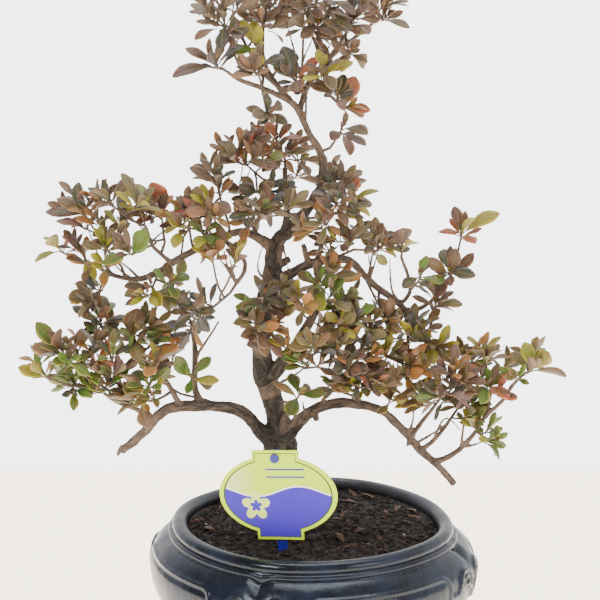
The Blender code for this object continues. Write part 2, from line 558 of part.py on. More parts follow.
def leaf_guards(leaf, corners):
    """Search trees of a fatter leaf without its root, and of the leaf as it is almost down to its root."""
    tip = leaf.root + leaf.reach
    fat = [leaf_section(leaf, t, share, GUARD) for t, share in [GUARD_START] + LEAF_SECTIONS]
    fat.append([tip + leaf.reach.normalized() * GUARD])
    bare = [leaf_section(leaf, t, share) for t, share in LEAF_SECTIONS]
    near_root = [corner.lerp(section, ROOT_SHARE) for corner, section in zip(corners, bare[0])]
    whole = [near_root] + bare + [[tip]]
    return BVHTree.FromPolygons(*loft(fat)), BVHTree.FromPolygons(*loft(whole))


def is_clear(leaf, guards, placed, barriers):
    middle = leaf.root + leaf.reach * 0.5
    for other, other_guards in placed:
        apart = (other.root + other.reach * 0.5 - middle).length
        if apart > (other.reach.length + leaf.reach.length) * NEIGHBOUR_SHARE:
            continue
        if guards[0].overlap(other_guards[0]) or guards[1].overlap(other_guards[1]):
            return False
    return not any(guards[0].overlap(barrier) for barrier in barriers)


def reach_for_tip(draws, root, tip):
    """From a leaf's root to a tip placed by eye, nearer or farther than the root by what length is left."""
    sight = (seen(tip[0], tip[1], 0) - VIEW_EYE).normalized()
    nearest = VIEW_EYE + sight * (root - VIEW_EYE).dot(sight)
    spare = draws.uniform(*TIP_LENGTHS) ** 2 - (nearest - root).length_squared
    swing = draws.choice((-1, -1, 1)) * math.sqrt(max(0, spare))
    return nearest + sight * (swing + draws.uniform(-TIP_STRAY, TIP_STRAY)) - root


def reach_by_rule(draws, axis, outward, level):
    share = level / (SHOOT_LEVELS - 1)
    lean = OUTER_LEAN + (INNER_LEAN - OUTER_LEAN) * share + draws.uniform(-LEAN_STRAY, LEAN_STRAY)
    swung = Matrix.Rotation(draws.uniform(-SWING_STRAY, SWING_STRAY), 3, axis) @ outward
    length = draws.uniform(*LEAF_LENGTHS) * (1 - INNER_SHRINK * share)
    return (axis * math.cos(lean) + swung * math.sin(lean)) * length


def draw_leaf(draws, rings, free, tones, tip):
    """One leaf on a free side of a shoot, drawn by the rule or reaching for a tip that was placed by eye."""
    axis = (rings[-1][0] - rings[-2][0]).normalized()
    frames = {side: side_frame(rings, *side) for side in free}
    if tip:
        middle = sum((frame[0] for frame in frames.values()), Vector()) / len(frames)
        aim = reach_for_tip(draws, middle, tip).normalized()
        side = max(frames, key=lambda s: frames[s][1].dot(aim))
        reach = reach_for_tip(draws, frames[side][0], tip)
        tone = tip[2]
    else:
        side = draws.choice(free)
        reach = reach_by_rule(draws, axis, frames[side][1], side[0] - (len(rings) - 1 - SHOOT_LEVELS))
        tone = draws.choice(tones)
    root, outward, corners = frames[side]
    aim = reach.normalized()
    face = axis * max(LEAST_LIFT, outward.dot(aim)) - outward * axis.dot(aim)
    face += Vector([draws.uniform(-FACE_STRAY, FACE_STRAY) for _ in range(3)])
    face = (face - aim * face.dot(aim)).normalized()
    to_front = SHOWN_TO_FRONT if tip and len(tip) > 3 else TO_FRONT
    face += FRONT * math.copysign(to_front, face.dot(FRONT))
    face = (face - aim * face.dot(aim)).normalized()
    across = face.cross(aim)
    if across.dot(corners[0] - corners[1]) < 0:
        across = -across
    slimness = draws.uniform(*LEAF_SLIMNESS)
    if tip and len(tip) > 3:
        slimness = tip[3]
    width = reach.length * slimness
    return Leaf(side, root, reach, face, across, width, draws.uniform(*LEAF_ARCHES), tone)


def set_out_leaves(draws, found, rings, placed, barriers):
    """The leaves of one rosette, each on its own side of the shoot and clear of everything placed before."""
    first = len(rings) - 1 - SHOOT_LEVELS
    free = [(first + level, side) for level in range(SHOOT_LEVELS) for side in range(TWIG_SIDES)]
    leaves = []
    for rank in range(max(LEAST_LEAVES, len(found.tips) + ADDED_LEAVES)):
        tip = found.tips[rank] if rank < len(found.tips) else None
        for _ in range(TRIES):
            leaf = draw_leaf(draws, rings, free, found.tones, tip)
            _, outward, corners = side_frame(rings, *leaf.side)
            if outward.dot(leaf.reach.normalized()) < LEAST_FACING:
                continue
            guards = leaf_guards(leaf, corners)
            if is_clear(leaf, guards, placed, barriers):
                placed.append((leaf, guards))
                leaves.append(leaf)
                free.remove(leaf.side)
                break
        if not free:
            break
    return leaves


def set_out_tree():
    """Every limb's route, and each spray's twigs and leaves, with nothing crossing its neighbours."""
    routes = {name: limb_route(name) for name in LIMBS}
    barriers = [tube_guard(route) for route in routes.values()]
    sprays = {}
    for name, (limb, place, rosettes) in SPRAYS.items():
        draws = random.Random(f"{SEED} {name} twigs")
        start = LIMBS[limb][-1][:2] if place is END else place
        rosettes = sorted(rosettes, key=lambda r: -math.hypot(r.across - start[0], r.down - start[1]))
        centres = [seen(found.across, found.down, found.depth) for found in rosettes]
        twigs = set_out_twigs(draws, routes[limb], place, centres, barriers)
        sprays[name] = {"twigs": twigs, "rosettes": rosettes, "leaves": []}
        barriers += [tube_guard(twig.route) for twig in twigs]
    placed = []
    for name, spray in sprays.items():
        draws = random.Random(f"{SEED} {name} leaves")
        for found, twig in zip(spray["rosettes"], spray["twigs"]):
            spray["leaves"].append(set_out_leaves(draws, found, twig.rings, placed, barriers))
    return routes, sprays


def clear_scene():
    for thing in list(bpy.data.objects):
        bpy.data.objects.remove(thing, do_unlink=True)


def make_material(name, colour, roughness, coat=0.0):
    material = bpy.data.materials.new(name)
    material.use_nodes = True
    shader = material.node_tree.nodes["Principled BSDF"]
    shader.inputs["Base Color"].default_value = (*colour, 1)
    shader.inputs["Roughness"].default_value = roughness
    shader.inputs["Coat Weight"].default_value = coat
    return material


def add_mesh(name, corners, faces, collection):
    mesh = bpy.data.meshes.new(name)
    mesh.from_pydata(corners, [], faces)
    built = bpy.data.objects.new(name, mesh)
    collection.objects.link(built)
    return built


def add_tube(name, route, bevel_resolution, collection):
    """A tube as a closed mesh, made from a bevelled curve."""
    curve = bpy.data.curves.new(name, "CURVE")
    curve.dimensions = "3D"
    curve.bevel_depth = 1.0
    curve.bevel_resolution = bevel_resolution
    curve.use_fill_caps = True
    spline = curve.splines.new("POLY")
    spline.points.add(len(route) - 1)
    for knot, point in zip(spline.points, route):
        knot.co = (*point.to_3d(), 1)
        knot.radius = point.w
    guide = bpy.data.objects.new(name + "_guide", curve)
    collection.objects.link(guide)
    depsgraph = bpy.context.evaluated_depsgraph_get()
    mesh = bpy.data.meshes.new_from_object(guide.evaluated_get(depsgraph))
    weld(mesh)
    tube = bpy.data.objects.new(name, mesh)
    tube.matrix_world = guide.matrix_world
    collection.objects.link(tube)
    bpy.data.objects.remove(guide, do_unlink=True)
    bpy.data.curves.remove(curve)
    return tube


def weld(mesh):
    shape = bmesh.new()
    shape.from_mesh(mesh)
    bmesh.ops.remove_doubles(shape, verts=shape.verts, dist=0.00001)
    bmesh.ops.recalc_face_normals(shape, faces=shape.faces)
    shape.to_mesh(mesh)
    shape.free()


def fuse(base, workshop):
    """Joins everything in the workshop collection to the base object, and empties the collection."""
    if workshop.objects:
        union = base.modifiers.new("Fuse", "BOOLEAN")
        union.operation = "UNION"
        union.solver = "EXACT"
        union.operand_type = "COLLECTION"
        union.collection = workshop
        depsgraph = bpy.context.evaluated_depsgraph_get()
        mesh = bpy.data.meshes.new_from_object(base.evaluated_get(depsgraph))
        base.modifiers.clear()
        base.data = mesh
        for piece in list(workshop.objects):
            bpy.data.objects.remove(piece, do_unlink=True)
    return base


def finish(built, root, material):
    built.data.materials.clear()
    built.data.materials.append(material)
    built.data.shade_smooth()
    built.data.set_sharp_from_angle(angle=math.radians(35))
    built.parent = root
    return built


def arc(middle, radius, start, end, steps, flatten=1.0):
    """Points of an arc in the pot's profile, from the outside's level at 0 degrees up to 90."""
    points = []
    for i in range(steps + 1):
        turn = math.radians(start + (end - start) * i / steps)
        points.append((middle[0] + radius * math.cos(turn), middle[1] + radius * flatten * math.sin(turn)))
    return points


def corner_share(turn):
    """1 at the pot's four corners, falling to 0 along its flatter sides."""
    return (0.5 + 0.5 * math.cos(4 * (turn - CORNER_TURN))) ** 2


def pot_ring(radius_mm, height_mm, bulge=CORNER_BULGE):
    points = []
    for i in range(POT_SIDES):
        turn = CORNER_TURN + 2 * math.pi * i / POT_SIDES
        radius = radius_mm * MM * (1 + bulge * (corner_share(turn) - 0.5))
        points.append(Vector((radius * math.sin(turn), -radius * math.cos(turn), height_mm * MM)))
    return points


def inside_bulge(radius_mm):
    return CORNER_BULGE if radius_mm > INSIDE_MM[0][0] else 0.0


def make_pot(collection, cutters, root):
    inside = [(DRAIN_RADIUS_MM, INSIDE_MM[0][1])] + INSIDE_MM
    lip = arc(LIP_MIDDLE_MM, LIP_RADIUS_MM, 180, -25, 5)
    ridge = arc(RIDGE_MIDDLE_MM, RIDGE_RADIUS_MM, 50, -50, 2)
    upper = arc(BELLY_MIDDLE_MM, BELLY_REACH_MM, 55, 0, 3, BELLY_UP_MM / BELLY_REACH_MM)
    lower = arc(BELLY_MIDDLE_MM, BELLY_REACH_MM, -18, -90, 4, BELLY_DOWN_MM / BELLY_REACH_MM)
    foot = [(FOOT_OUTER_MM + 1, lower[-1][1] - 1.5), (FOOT_OUTER_MM, 0), (FOOT_INNER_MM, 0)]
    underside = [(FOOT_INNER_MM - 2, UNDERSIDE_MM), (DRAIN_RADIUS_MM, UNDERSIDE_MM)]
    rings = [pot_ring(radius, height, inside_bulge(radius)) for radius, height in inside + lip + ridge]
    rings += [pot_ring(radius, height) for radius, height in upper + lower]
    rings += [pot_ring(radius, height, 0.0) for radius, height in foot + underside]
    corners, faces = loft(rings + [rings[0]], closed=False)
    pot = add_mesh("pot", corners, faces, collection)
    weld(pot.data)
    for i in range(4):
        arch = make_cylinder(f"foot_arch_{i}", FOOT_ARCH_RADIUS, FOOT_ARCH_LENGTH, 12, cutters)
        turn = CORNER_TURN + math.radians(45 + 90 * i)
        lay = Matrix.Rotation(turn, 4, "Z") @ Matrix.Rotation(math.radians(90), 4, "X")
        arch.matrix_world = lay @ Matrix.Translation((0, 0, FOOT_ARCH_LENGTH / 2 + FOOT_ARCH_START))
        arch.location.z = FOOT_ARCH_CENTRE
        cut(pot, arch)
    return finish(pot, root, make_material("navy_glaze", (0.02, 0.03, 0.07), 0.18, 0.6))


def make_cylinder(name, radius, length, sides, collection):
    shape = bmesh.new()
    bmesh.ops.create_cone(shape, cap_ends=True, segments=sides, radius1=radius, radius2=radius, depth=length)
    mesh = bpy.data.meshes.new(name)
    shape.to_mesh(mesh)
    shape.free()
    built = bpy.data.objects.new(name, mesh)
    collection.objects.link(built)
    return built


def make_box(name, size, collection):
    shape = bmesh.new()
    bmesh.ops.create_cube(shape, size=1.0)
    bmesh.ops.scale(shape, vec=size, verts=shape.verts)
    mesh = bpy.data.meshes.new(name)
    shape.to_mesh(mesh)
    shape.free()
    built = bpy.data.objects.new(name, mesh)
    collection.objects.link(built)
    return built


def cut(base, cutter):
    cutter.hide_render = True
    cutter.display_type = "WIRE"
    modifier = base.modifiers.new(cutter.name, "BOOLEAN")
    modifier.operation = "DIFFERENCE"
    modifier.solver = "EXACT"
    modifier.object = cutter


def make_soil(collection, cutters, root, trunk_foot):
    gap = TOUCH_GAP / MM
    widest = max(INSIDE_MM)[1]
    side = [(radius - gap, height + (gap if height < widest else -gap)) for radius, height in INSIDE_MM]
    rings = [pot_ring(radius, height, inside_bulge(radius)) for radius, height in side + SOIL_TOP_MM]
    rings.append([Vector((0, 0, SOIL_CROWN_MM * MM))])
    soil = add_mesh("soil", *loft(rings), collection)
    weld(soil.data)
    hole_radius = (TRUNK_FOOT_MM + TRUNK_HOLE_GAP_MM) * MM
    hole = make_cylinder("trunk_hole", hole_radius, 2 * TRUNK_HOLE_DEPTH, 20, cutters)
    hole.location = (trunk_foot.x, trunk_foot.y, SOIL_CROWN_MM * MM)
    cut(soil, hole)
    bottom, middle = stake_bottom(), stake_middle()
    size = (STAKE_WIDTH + 2 * TOUCH_GAP, STAKE_THICK + 2 * TOUCH_GAP, SLOT_HEIGHT)
    slot = make_box("stake_slot", size, cutters)
    slot.data.transform(Matrix.Translation((0, middle, bottom - TOUCH_GAP + SLOT_HEIGHT / 2)))
    slot.matrix_world = label_turn()
    cut(soil, slot)
    return finish(soil, root, make_material("peat", (0.03, 0.02, 0.015), 0.95))


def make_wood(collection, workshop, root, routes):
    foot = routes["trunk"][0].to_3d()
    foot_end = Vector((foot.x, foot.y, SOIL_CROWN_MM * MM - TRUNK_HOLE_DEPTH + TOUCH_GAP, TRUNK_FOOT_MM * MM))
    trunk = add_tube("tree_wood", [foot_end] + routes["trunk"], 2, collection)
    for name, route in routes.items():
        if name != "trunk":
            add_tube(name, route, 1 if route[0].w > THIN_LIMB else 0, workshop)
    wood = fuse(trunk, workshop)
    return finish(wood, root, make_material("bark", (0.16, 0.12, 0.09), 0.85))


def push_out(shape, face, old_corners, new_corners):
    """Extrudes one face and moves its corners to new places."""
    fresh = bmesh.ops.extrude_discrete_faces(shape, faces=[face])["faces"][0]
    for corner in fresh.verts:
        nearest = min(range(len(old_corners)), key=lambda i: (corner.co - old_corners[i]).length)
        corner.co = new_corners[nearest]
    return fresh


def side_of(shape, corners):
    """The face with a corner at each of these places."""
    middle = sum(corners, Vector()) / len(corners)
    return min(shape.faces, key=lambda face: (face.calc_center_median() - middle).length)


def grow_twig(shape, twig, face):
    """Extrudes a twig from a face, ring by ring."""
    for before, after in zip(twig.rings, twig.rings[1:]):
        face = push_out(shape, face, before, after)


def crease(shape, face, ends):
    """Splits a wall beside a face along the diagonal between the two corners nearest to these places."""
    walls = {wall for edge in face.edges for wall in edge.link_faces if wall != face}
    middle = (ends[0] + ends[1]) / 2
    wall = min(walls, key=lambda w: (w.calc_center_median() - middle).length)
    pair = [min(wall.verts, key=lambda v: (v.co - end).length) for end in ends]
    bmesh.ops.connect_vert_pair(shape, verts=pair)


def grow_leaf(shape, leaf, corners):
    """Extrudes a leaf from a side of its shoot, splits both faces alike and draws its end out to a point."""
    face = side_of(shape, corners)
    for t, share in LEAF_SECTIONS:
        section = leaf_section(leaf, t, share)
        face = push_out(shape, face, corners, section)
        crease(shape, face, (corners[3], section[2]))
        crease(shape, face, (corners[0], section[1]))
        corners = section
    tip = bmesh.ops.poke(shape, faces=[face])["verts"][0]
    tip.co = leaf.root + leaf.reach


def seat_on_wood(route, wood_tree):
    """Where a stem meets the wood, and the way its surface faces there."""
    inner = route[0].to_3d() - (route[1] - route[0]).to_3d().normalized() * MM
    outer = route[1].to_3d()
    found, facing, _, _ = wood_tree.ray_cast(outer, (inner - outer).normalized())
    return found + facing * TOUCH_GAP, facing


def make_spray(name, spray, collection, root, wood_tree):
    stem = spray["twigs"][0]
    seat, facing = seat_on_wood(stem.route, wood_tree)
    foot, _ = ring(seat, facing, stem.rings[0][0] - stem.route[0].to_3d(), stem.route[0].w, TWIG_SIDES)
    corners, faces = loft([foot, stem.rings[1]])
    built = add_mesh(name, corners, faces, collection)
    shape = bmesh.new()
    shape.from_mesh(built.data)
    grow_twig(shape, Twig(stem.route[1:], stem.rings[1:], None), side_of(shape, stem.rings[1]))
    for twig in spray["twigs"][1:]:
        grow_twig(shape, twig, side_of(shape, side_corners(stem.rings, *twig.fork_of)))
    for twig, leaves in zip(spray["twigs"], spray["leaves"]):
        for leaf in leaves:
            grow_leaf(shape, leaf, side_corners(twig.rings, *leaf.side))
    shape.to_mesh(built.data)
    shape.free()
    tones = [leaf.tone for leaves in spray["leaves"] for leaf in leaves] or ["o"]
    colour = TONE_COLOURS[max(sorted(set(tones)), key=tones.count)]
    return finish(built, root, make_material(name + "_leaf", colour, 0.5))


def plate_outline():
    """An upright oval plate with a square tab above and below, clockwise from the top tab's right corner."""
    edge = math.acos(TAB_HALF_WIDTH / PLATE_HALF_WIDTH)
    right = []
    for i in range(PLATE_STEPS + 1):
        turn = edge - 2 * edge * i / PLATE_STEPS
        right.append((PLATE_HALF_WIDTH * math.cos(turn), PLATE_HALF_HEIGHT * math.sin(turn)))
    half = [(TAB_HALF_WIDTH, TAB_REACH)] + right + [(TAB_HALF_WIDTH, -TAB_REACH)]
    return half + [(-x, -z) for x, z in half]


def label_turn():
    """The label's own axes: across it, into the picture and up it, from the middle of its plate."""
    turn = Matrix.Rotation(LABEL_YAW, 4, "Z") @ Matrix.Rotation(LABEL_LEAN, 4, "Y")
    return Matrix.Translation(seen(*PLATE_SEEN)) @ turn


def stake_middle():
    return PLATE_THICK / 2 + TOUCH_GAP + STAKE_THICK / 2


def stake_bottom():
    return SOIL_EDGE_MM * MM - STAKE_IN_SOIL - seen(*PLATE_SEEN).z


def peg_hole():
    turns = [2 * math.pi * i / 12 for i in range(12)]
    radius, height = PEG_RADIUS + TOUCH_GAP, TAB_REACH - PEG_BELOW_TOP
    return [(radius * math.cos(turn), height + radius * math.sin(turn)) for turn in turns]


def make_plate(collection, root):
    curve = bpy.data.curves.new("label_plate", "CURVE")
    curve.dimensions = "2D"
    curve.fill_mode = "BOTH"
    curve.extrude = PLATE_THICK / 2
    for outline in (plate_outline(), peg_hole()):
        spline = curve.splines.new("POLY")
        spline.points.add(len(outline) - 1)
        for knot, (x, z) in zip(spline.points, outline):
            knot.co = (x, z, 0, 1)
        spline.use_cyclic_u = True
    guide = bpy.data.objects.new("label_guide", curve)
    collection.objects.link(guide)
    depsgraph = bpy.context.evaluated_depsgraph_get()
    mesh = bpy.data.meshes.new_from_object(guide.evaluated_get(depsgraph))
    weld(mesh)
    bpy.data.objects.remove(guide, do_unlink=True)
    plate = bpy.data.objects.new("label_plate", mesh)
    collection.objects.link(plate)
    plate.matrix_world = label_turn() @ Matrix.Rotation(math.pi / 2, 4, "X")
    return finish(plate, root, make_material("label_plastic", (0.45, 0.48, 0.80), 0.35))


def make_stake(collection, workshop, root):
    """The stake behind the plate, with the peg and button that the plate hangs on."""
    peg_height = TAB_REACH - PEG_BELOW_TOP
    bottom = stake_bottom()
    stake = make_box("label_stake", (STAKE_WIDTH, STAKE_THICK, TAB_REACH - bottom), collection)
    stake.data.transform(Matrix.Translation((0, stake_middle(), (TAB_REACH + bottom) / 2)))
    lie = Matrix.Rotation(math.pi / 2, 4, "X")
    front = -PLATE_THICK / 2 - TOUCH_GAP
    button = make_cylinder("button", BUTTON_RADIUS, BUTTON_THICK, 14, workshop)
    button.data.transform(Matrix.Translation((0, front - BUTTON_THICK / 2, peg_height)) @ lie)
    peg_length = stake_middle() - front + BUTTON_THICK / 2
    peg = make_cylinder("peg", PEG_RADIUS, peg_length, 10, workshop)
    peg.data.transform(Matrix.Translation((0, stake_middle() - peg_length / 2, peg_height)) @ lie)
    fused = fuse(stake, workshop)
    fused.matrix_world = label_turn()
    return finish(fused, root, make_material("stake_plastic", (0.16, 0.18, 0.62), 0.35))


def build_bonsai():
    clear_scene()
    collection = bpy.data.collections.new("rhododendron_bonsai")
    cutters = bpy.data.collections.new("cutters")
    workshop = bpy.data.collections.new("workshop")
    for made in (collection, cutters, workshop):
        bpy.context.scene.collection.children.link(made)
    root = bpy.data.objects.new("bonsai_root", None)
    collection.objects.link(root)
    routes, sprays = set_out_tree()
    make_pot(collection, cutters, root)
    make_soil(collection, cutters, root, routes["trunk"][0].to_3d())
    wood = make_wood(collection, workshop, root, routes)
    surface = wood.data
    wood_tree = BVHTree.FromPolygons([v.co for v in surface.vertices], [p.vertices for p in surface.polygons])
    for name, spray in sprays.items():
        make_spray(name, spray, collection, root, wood_tree)
    make_plate(collection, root)
    make_stake(collection, workshop, root)
    for cutter in cutters.objects:
        cutter.parent = root
    root.location = PLANT_CENTRE
    bpy.context.scene.collection.children.unlink(workshop)
    bpy.data.collections.remove(workshop)


build_bonsai()
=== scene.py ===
"""The looks of a rhododendron bonsai: glazed pot, peat, bark, twigs, veined leaves and a plain plant label.

Lengths are metres with +Z up, and a name ending in _MM is in millimetres.  Colours are six hex digits.  The
tree is laid out as in the part's source: places in a front view of 600 by 600, then millimetres behind the
pot's axis, with the same seeded draws.
"""
import json
import math
import random
from collections import namedtuple
from itertools import chain, product

import bmesh
import bpy
import numpy as np
from mathutils import Color, Matrix, Vector, noise
from mathutils.bvhtree import BVHTree
from mathutils.kdtree import KDTree


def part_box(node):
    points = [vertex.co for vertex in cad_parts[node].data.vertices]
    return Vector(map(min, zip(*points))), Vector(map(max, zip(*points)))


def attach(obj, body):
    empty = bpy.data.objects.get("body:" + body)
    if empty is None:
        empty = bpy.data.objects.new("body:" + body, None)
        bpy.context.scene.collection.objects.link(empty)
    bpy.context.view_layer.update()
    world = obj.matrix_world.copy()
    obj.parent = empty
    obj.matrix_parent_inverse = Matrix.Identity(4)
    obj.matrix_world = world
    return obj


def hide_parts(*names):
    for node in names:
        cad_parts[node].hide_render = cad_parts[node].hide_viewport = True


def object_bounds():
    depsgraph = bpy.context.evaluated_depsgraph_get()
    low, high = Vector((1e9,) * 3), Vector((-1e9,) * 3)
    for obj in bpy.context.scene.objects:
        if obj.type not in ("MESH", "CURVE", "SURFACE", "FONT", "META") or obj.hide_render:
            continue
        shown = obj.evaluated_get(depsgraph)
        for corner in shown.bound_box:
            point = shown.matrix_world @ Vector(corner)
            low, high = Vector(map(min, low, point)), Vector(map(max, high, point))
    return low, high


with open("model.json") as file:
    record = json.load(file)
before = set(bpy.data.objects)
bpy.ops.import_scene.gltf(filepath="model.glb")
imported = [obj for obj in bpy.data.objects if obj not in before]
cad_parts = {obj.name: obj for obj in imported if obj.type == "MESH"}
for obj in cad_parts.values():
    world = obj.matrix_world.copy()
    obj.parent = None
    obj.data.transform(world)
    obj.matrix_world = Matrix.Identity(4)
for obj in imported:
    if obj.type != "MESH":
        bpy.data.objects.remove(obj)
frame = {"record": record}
CAD_BOX = [list(corner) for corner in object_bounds()]

MM = 0.001

# The front view in which the tree was set out
PICTURE_MIDDLE = 300
PICTURE_SIZE = 600
VIEW_EYE = Vector((-0.008, -0.966, 0.396))
VIEW_PITCH = math.radians(10)
VIEW_FOCAL = 1485
SENSOR = 36.0

# The pot
POT_LOW, POT_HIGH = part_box("pot")
PLANT_CENTRE = Vector(((POT_LOW.x + POT_HIGH.x) / 2, (POT_LOW.y + POT_HIGH.y) / 2, 0))
POT_SIDES = 560
CORNER_TURN = math.radians(-19)
CORNER_BULGE = 0.028
LIP_MIDDLE_MM = (90, 72)
LIP_RADIUS_MM = 5
RIDGE_MIDDLE_MM = (95.4, 68.3)
RIDGE_RADIUS_MM = 2.2
BELLY_MIDDLE_MM = (84, 47)
BELLY_REACH_MM = 26
BELLY_UP_MM = 23
BELLY_DOWN_MM = 33
FOOT_OUTER_MM = 77
FOOT_INNER_MM = 65
UNDERSIDE_MM = 6
DRAIN_RADIUS_MM = 11
INSIDE_MM = [(72, 14), (89, 23), (101, 45), (97, 59), (86, 67)]
ARCH_RADIUS_MM = 9
ARCH_CENTRE_MM = -5.5
CUSP_DROP_MM = 3.2
CUSP_WIDTH_MM = 9
BEAD_HEIGHT_MM = 1.1
BEAD_WIDTH_MM = 1.3
SCROLL_HEIGHT_MM = 1.9
SCROLL_WIDTH_MM = 1.7

# The soil
SOIL_CROWN_MM = 72.5
SOIL_RIM_MM = 69.8
SOIL_REACH_MM = 84.6
SOIL_RINGS = 90
SOIL_SPOKES = 260
SOIL_GAP_MM = 0.3

# The label
PLATE_HALF_WIDTH = 0.0394
PLATE_HALF_HEIGHT = 0.0260
TAB_HALF_WIDTH = 0.0155
TAB_REACH = 0.0294
PLATE_THICK = 0.0014
PLATE_STEPS = 40
LABEL_LEAN = math.radians(-4.5)
LABEL_YAW = math.radians(-16)
PLATE_SEEN = (278, 495, -54)
STAKE_WIDTH = 0.0062
STAKE_THICK = 0.0016
PEG_RADIUS = 0.0016
BUTTON_RADIUS = 0.0030
BUTTON_THICK = 0.0012
PEG_BELOW_TOP = 0.0050
TOUCH_GAP = 0.3 * MM
SOIL_EDGE_MM = 70
STAKE_IN_SOIL = 0.026

# The wood, limb by limb: across, down, depth in mm, radius in mm
LIMBS = {
    "trunk": [(281, 531, 14, 13.5), (281, 500, 14, 12.4), (281, 470, 13, 11.8), (281, 448, 12, 11.2),
              (280, 430, 12, 9.4), (277, 415, 12, 7.7), (273, 400, 10, 7.0), (268, 385, 9, 7.9),
              (264, 370, 7, 8.3), (262, 355, 5, 6.8), (261, 338, 3, 6.1), (263, 320, 1, 5.8),
              (266, 300, 0, 6.0), (272, 281, 0, 6.7), (273, 263, 0, 5.5), (275, 249, 0, 5.9),
              (280, 238, 0, 5.0), (289, 231, 2, 4.4), (301, 217, 4, 4.0), (312, 203, 6, 3.7),
              (321, 188, 6, 3.5), (323, 170, 4, 3.0), (320, 152, 2, 2.7), (310, 135, 0, 2.4),
              (303, 120, -1, 2.3), (297, 108, -2, 2.2), (286, 97, -4, 2.1)],
    "crown_left": [(289, 100, -3, 2.0), (262, 88, -10, 1.8), (240, 80, -16, 1.5), (226, 71, -20, 1.2)],
    "crown_middle": [(289, 99, -4, 2.0), (270, 75, 0, 1.7), (263, 55, 4, 1.4), (263, 42, 6, 1.2)],
    "crown_right": [(299, 113, -1, 2.1), (305, 92, 4, 2.0), (312, 77, 8, 1.8), (325, 63, 10, 1.7),
                    (340, 49, 12, 1.5), (358, 35, 14, 1.3), (368, 27, 15, 1.2)],
    "left_high": [(274, 249, 0, 4.4), (262, 240, -3, 3.2), (245, 232, -7, 2.8), (230, 234, -10, 2.6),
                  (212, 240, -13, 2.5), (195, 250, -16, 2.4), (175, 261, -18, 2.3), (158, 272, -18, 2.1),
                  (140, 279, -15, 1.9), (125, 278, -12, 1.7), (110, 274, -8, 1.5), (98, 267, -4, 1.3)],
    "left_high_up": [(172, 263, -18, 1.7), (161, 254, -21, 1.5), (152, 245, -24, 1.3), (149, 236, -26, 1.2)],
    "left_hanging": [(223, 236, -11, 1.8), (232, 249, -20, 1.6), (244, 260, -28, 1.5), (244, 272, -32, 1.4),
                     (236, 284, -33, 1.2)],
    "right_high": [(273, 281, 0, 4.6), (290, 274, -5, 3.3), (313, 263, -8, 3.1), (340, 259, -6, 2.9),
                   (353, 263, -3, 2.6), (366, 277, 0, 2.4), (379, 289, 3, 2.3), (393, 299, 5, 2.2),
                   (405, 311, 6, 2.0), (408, 334, 4, 1.6), (408, 350, 2, 1.3)],
    "right_high_up": [(391, 298, 5, 1.9), (402, 302, 0, 1.7), (410, 291, -3, 1.5), (408, 276, -6, 1.3),
                      (403, 262, -8, 1.2)],
    "right_high_out": [(404, 310, 6, 1.9), (418, 309, 9, 1.6), (430, 302, 10, 1.5), (440, 292, 9, 1.3),
                       (446, 283, 8, 1.2)],
    "right_fork": [(267, 379, 7, 5.8), (276, 370, 3, 5.2), (286, 357, -1, 4.6), (297, 344, -6, 4.0),
                   (305, 330, -10, 3.4), (312, 318, -14, 2.9), (317, 308, -17, 2.4)],
    "right_fork_out": [(304, 333, -9, 2.2), (321, 337, -14, 1.8), (331, 344, -17, 1.5), (337, 351, -19, 1.3)],
    "rear_high": [(283, 236, 1, 3.0), (287, 215, 14, 2.4), (285, 190, 28, 2.0), (285, 168, 38, 1.6)],
    "rear_low": [(262, 352, 4, 3.4), (266, 338, 22, 2.8), (276, 322, 42, 2.3), (288, 308, 58, 1.8)],
    "left_low": [(279, 445, 12, 6.0), (264, 434, 9, 5.0), (251, 420, 4, 4.4), (238, 410, -2, 4.1),
                 (215, 406, -8, 3.9), (190, 406, -12, 3.9), (170, 408, -14, 3.7), (158, 416, -14, 3.5),
                 (147, 429, -12, 3.2), (135, 440, -10, 3.0), (122, 451, -8, 2.8)],
    "left_low_up": [(180, 405, -13, 2.2), (172, 391, -18, 1.8), (166, 380, -20, 1.6), (163, 371, -22, 1.3)],
    "left_low_stem": [(201, 404, -10, 2.9), (195, 388, -6, 2.3), (195, 366, -2, 2.1), (195, 348, 1, 1.9),
                      (192, 330, 4, 1.6)],
    "left_low_out": [(151, 421, -13, 2.3), (140, 411, -18, 1.9), (125, 405, -22, 1.6), (112, 399, -24, 1.4),
                     (104, 393, -26, 1.2)],
    "right_low": [(283, 437, 12, 5.7), (295, 426, 8, 4.7), (305, 416, 5, 4.1), (315, 409, 2, 3.8),
                  (327, 405, -1, 3.5), (341, 403, -5, 3.4), (356, 404, -8, 3.3), (372, 407, -10, 3.1),
                  (384, 412, -11, 2.9), (395, 422, -11, 2.8), (407, 434, -10, 2.7), (420, 450, -8, 2.6),
                  (434, 462, -6, 2.5), (445, 473, -4, 2.4), (454, 484, -2, 2.3)],
    "right_low_up": [(411, 438, -9, 1.9), (420, 424, -15, 1.6), (430, 412, -18, 1.4), (436, 404, -20, 1.2)],
    "right_low_stem": [(421, 450, -8, 1.9), (433, 441, -3, 1.6), (444, 428, 0, 1.4), (451, 418, 2, 1.2)],
    "right_low_out": [(435, 462, -6, 2.3), (448, 457, -10, 1.9), (462, 447, -12, 1.8), (476, 431, -14, 1.6),
                      (486, 414, -15, 1.4), (489, 402, -15, 1.2)],
    "right_low_far": [(485, 416, -15, 1.7), (502, 401, -19, 1.4), (512, 386, -21, 1.3), (522, 376, -21, 1.1)],
}

# Each spray leaves a limb at a place in the view, or goes on from the limb's end.  Its shoots each end in a
# rosette: across, down, depth in mm, tones, then the given leaf tips, with their tones.  A leaf that stands
# out by its width also has that width, as a share of its length.
# Tones: b bronze, p pink brown, o olive, s slate, r red, n orange, y yellow green, g green.
END = None
Rosette = namedtuple("Rosette", "across down depth tones tips")


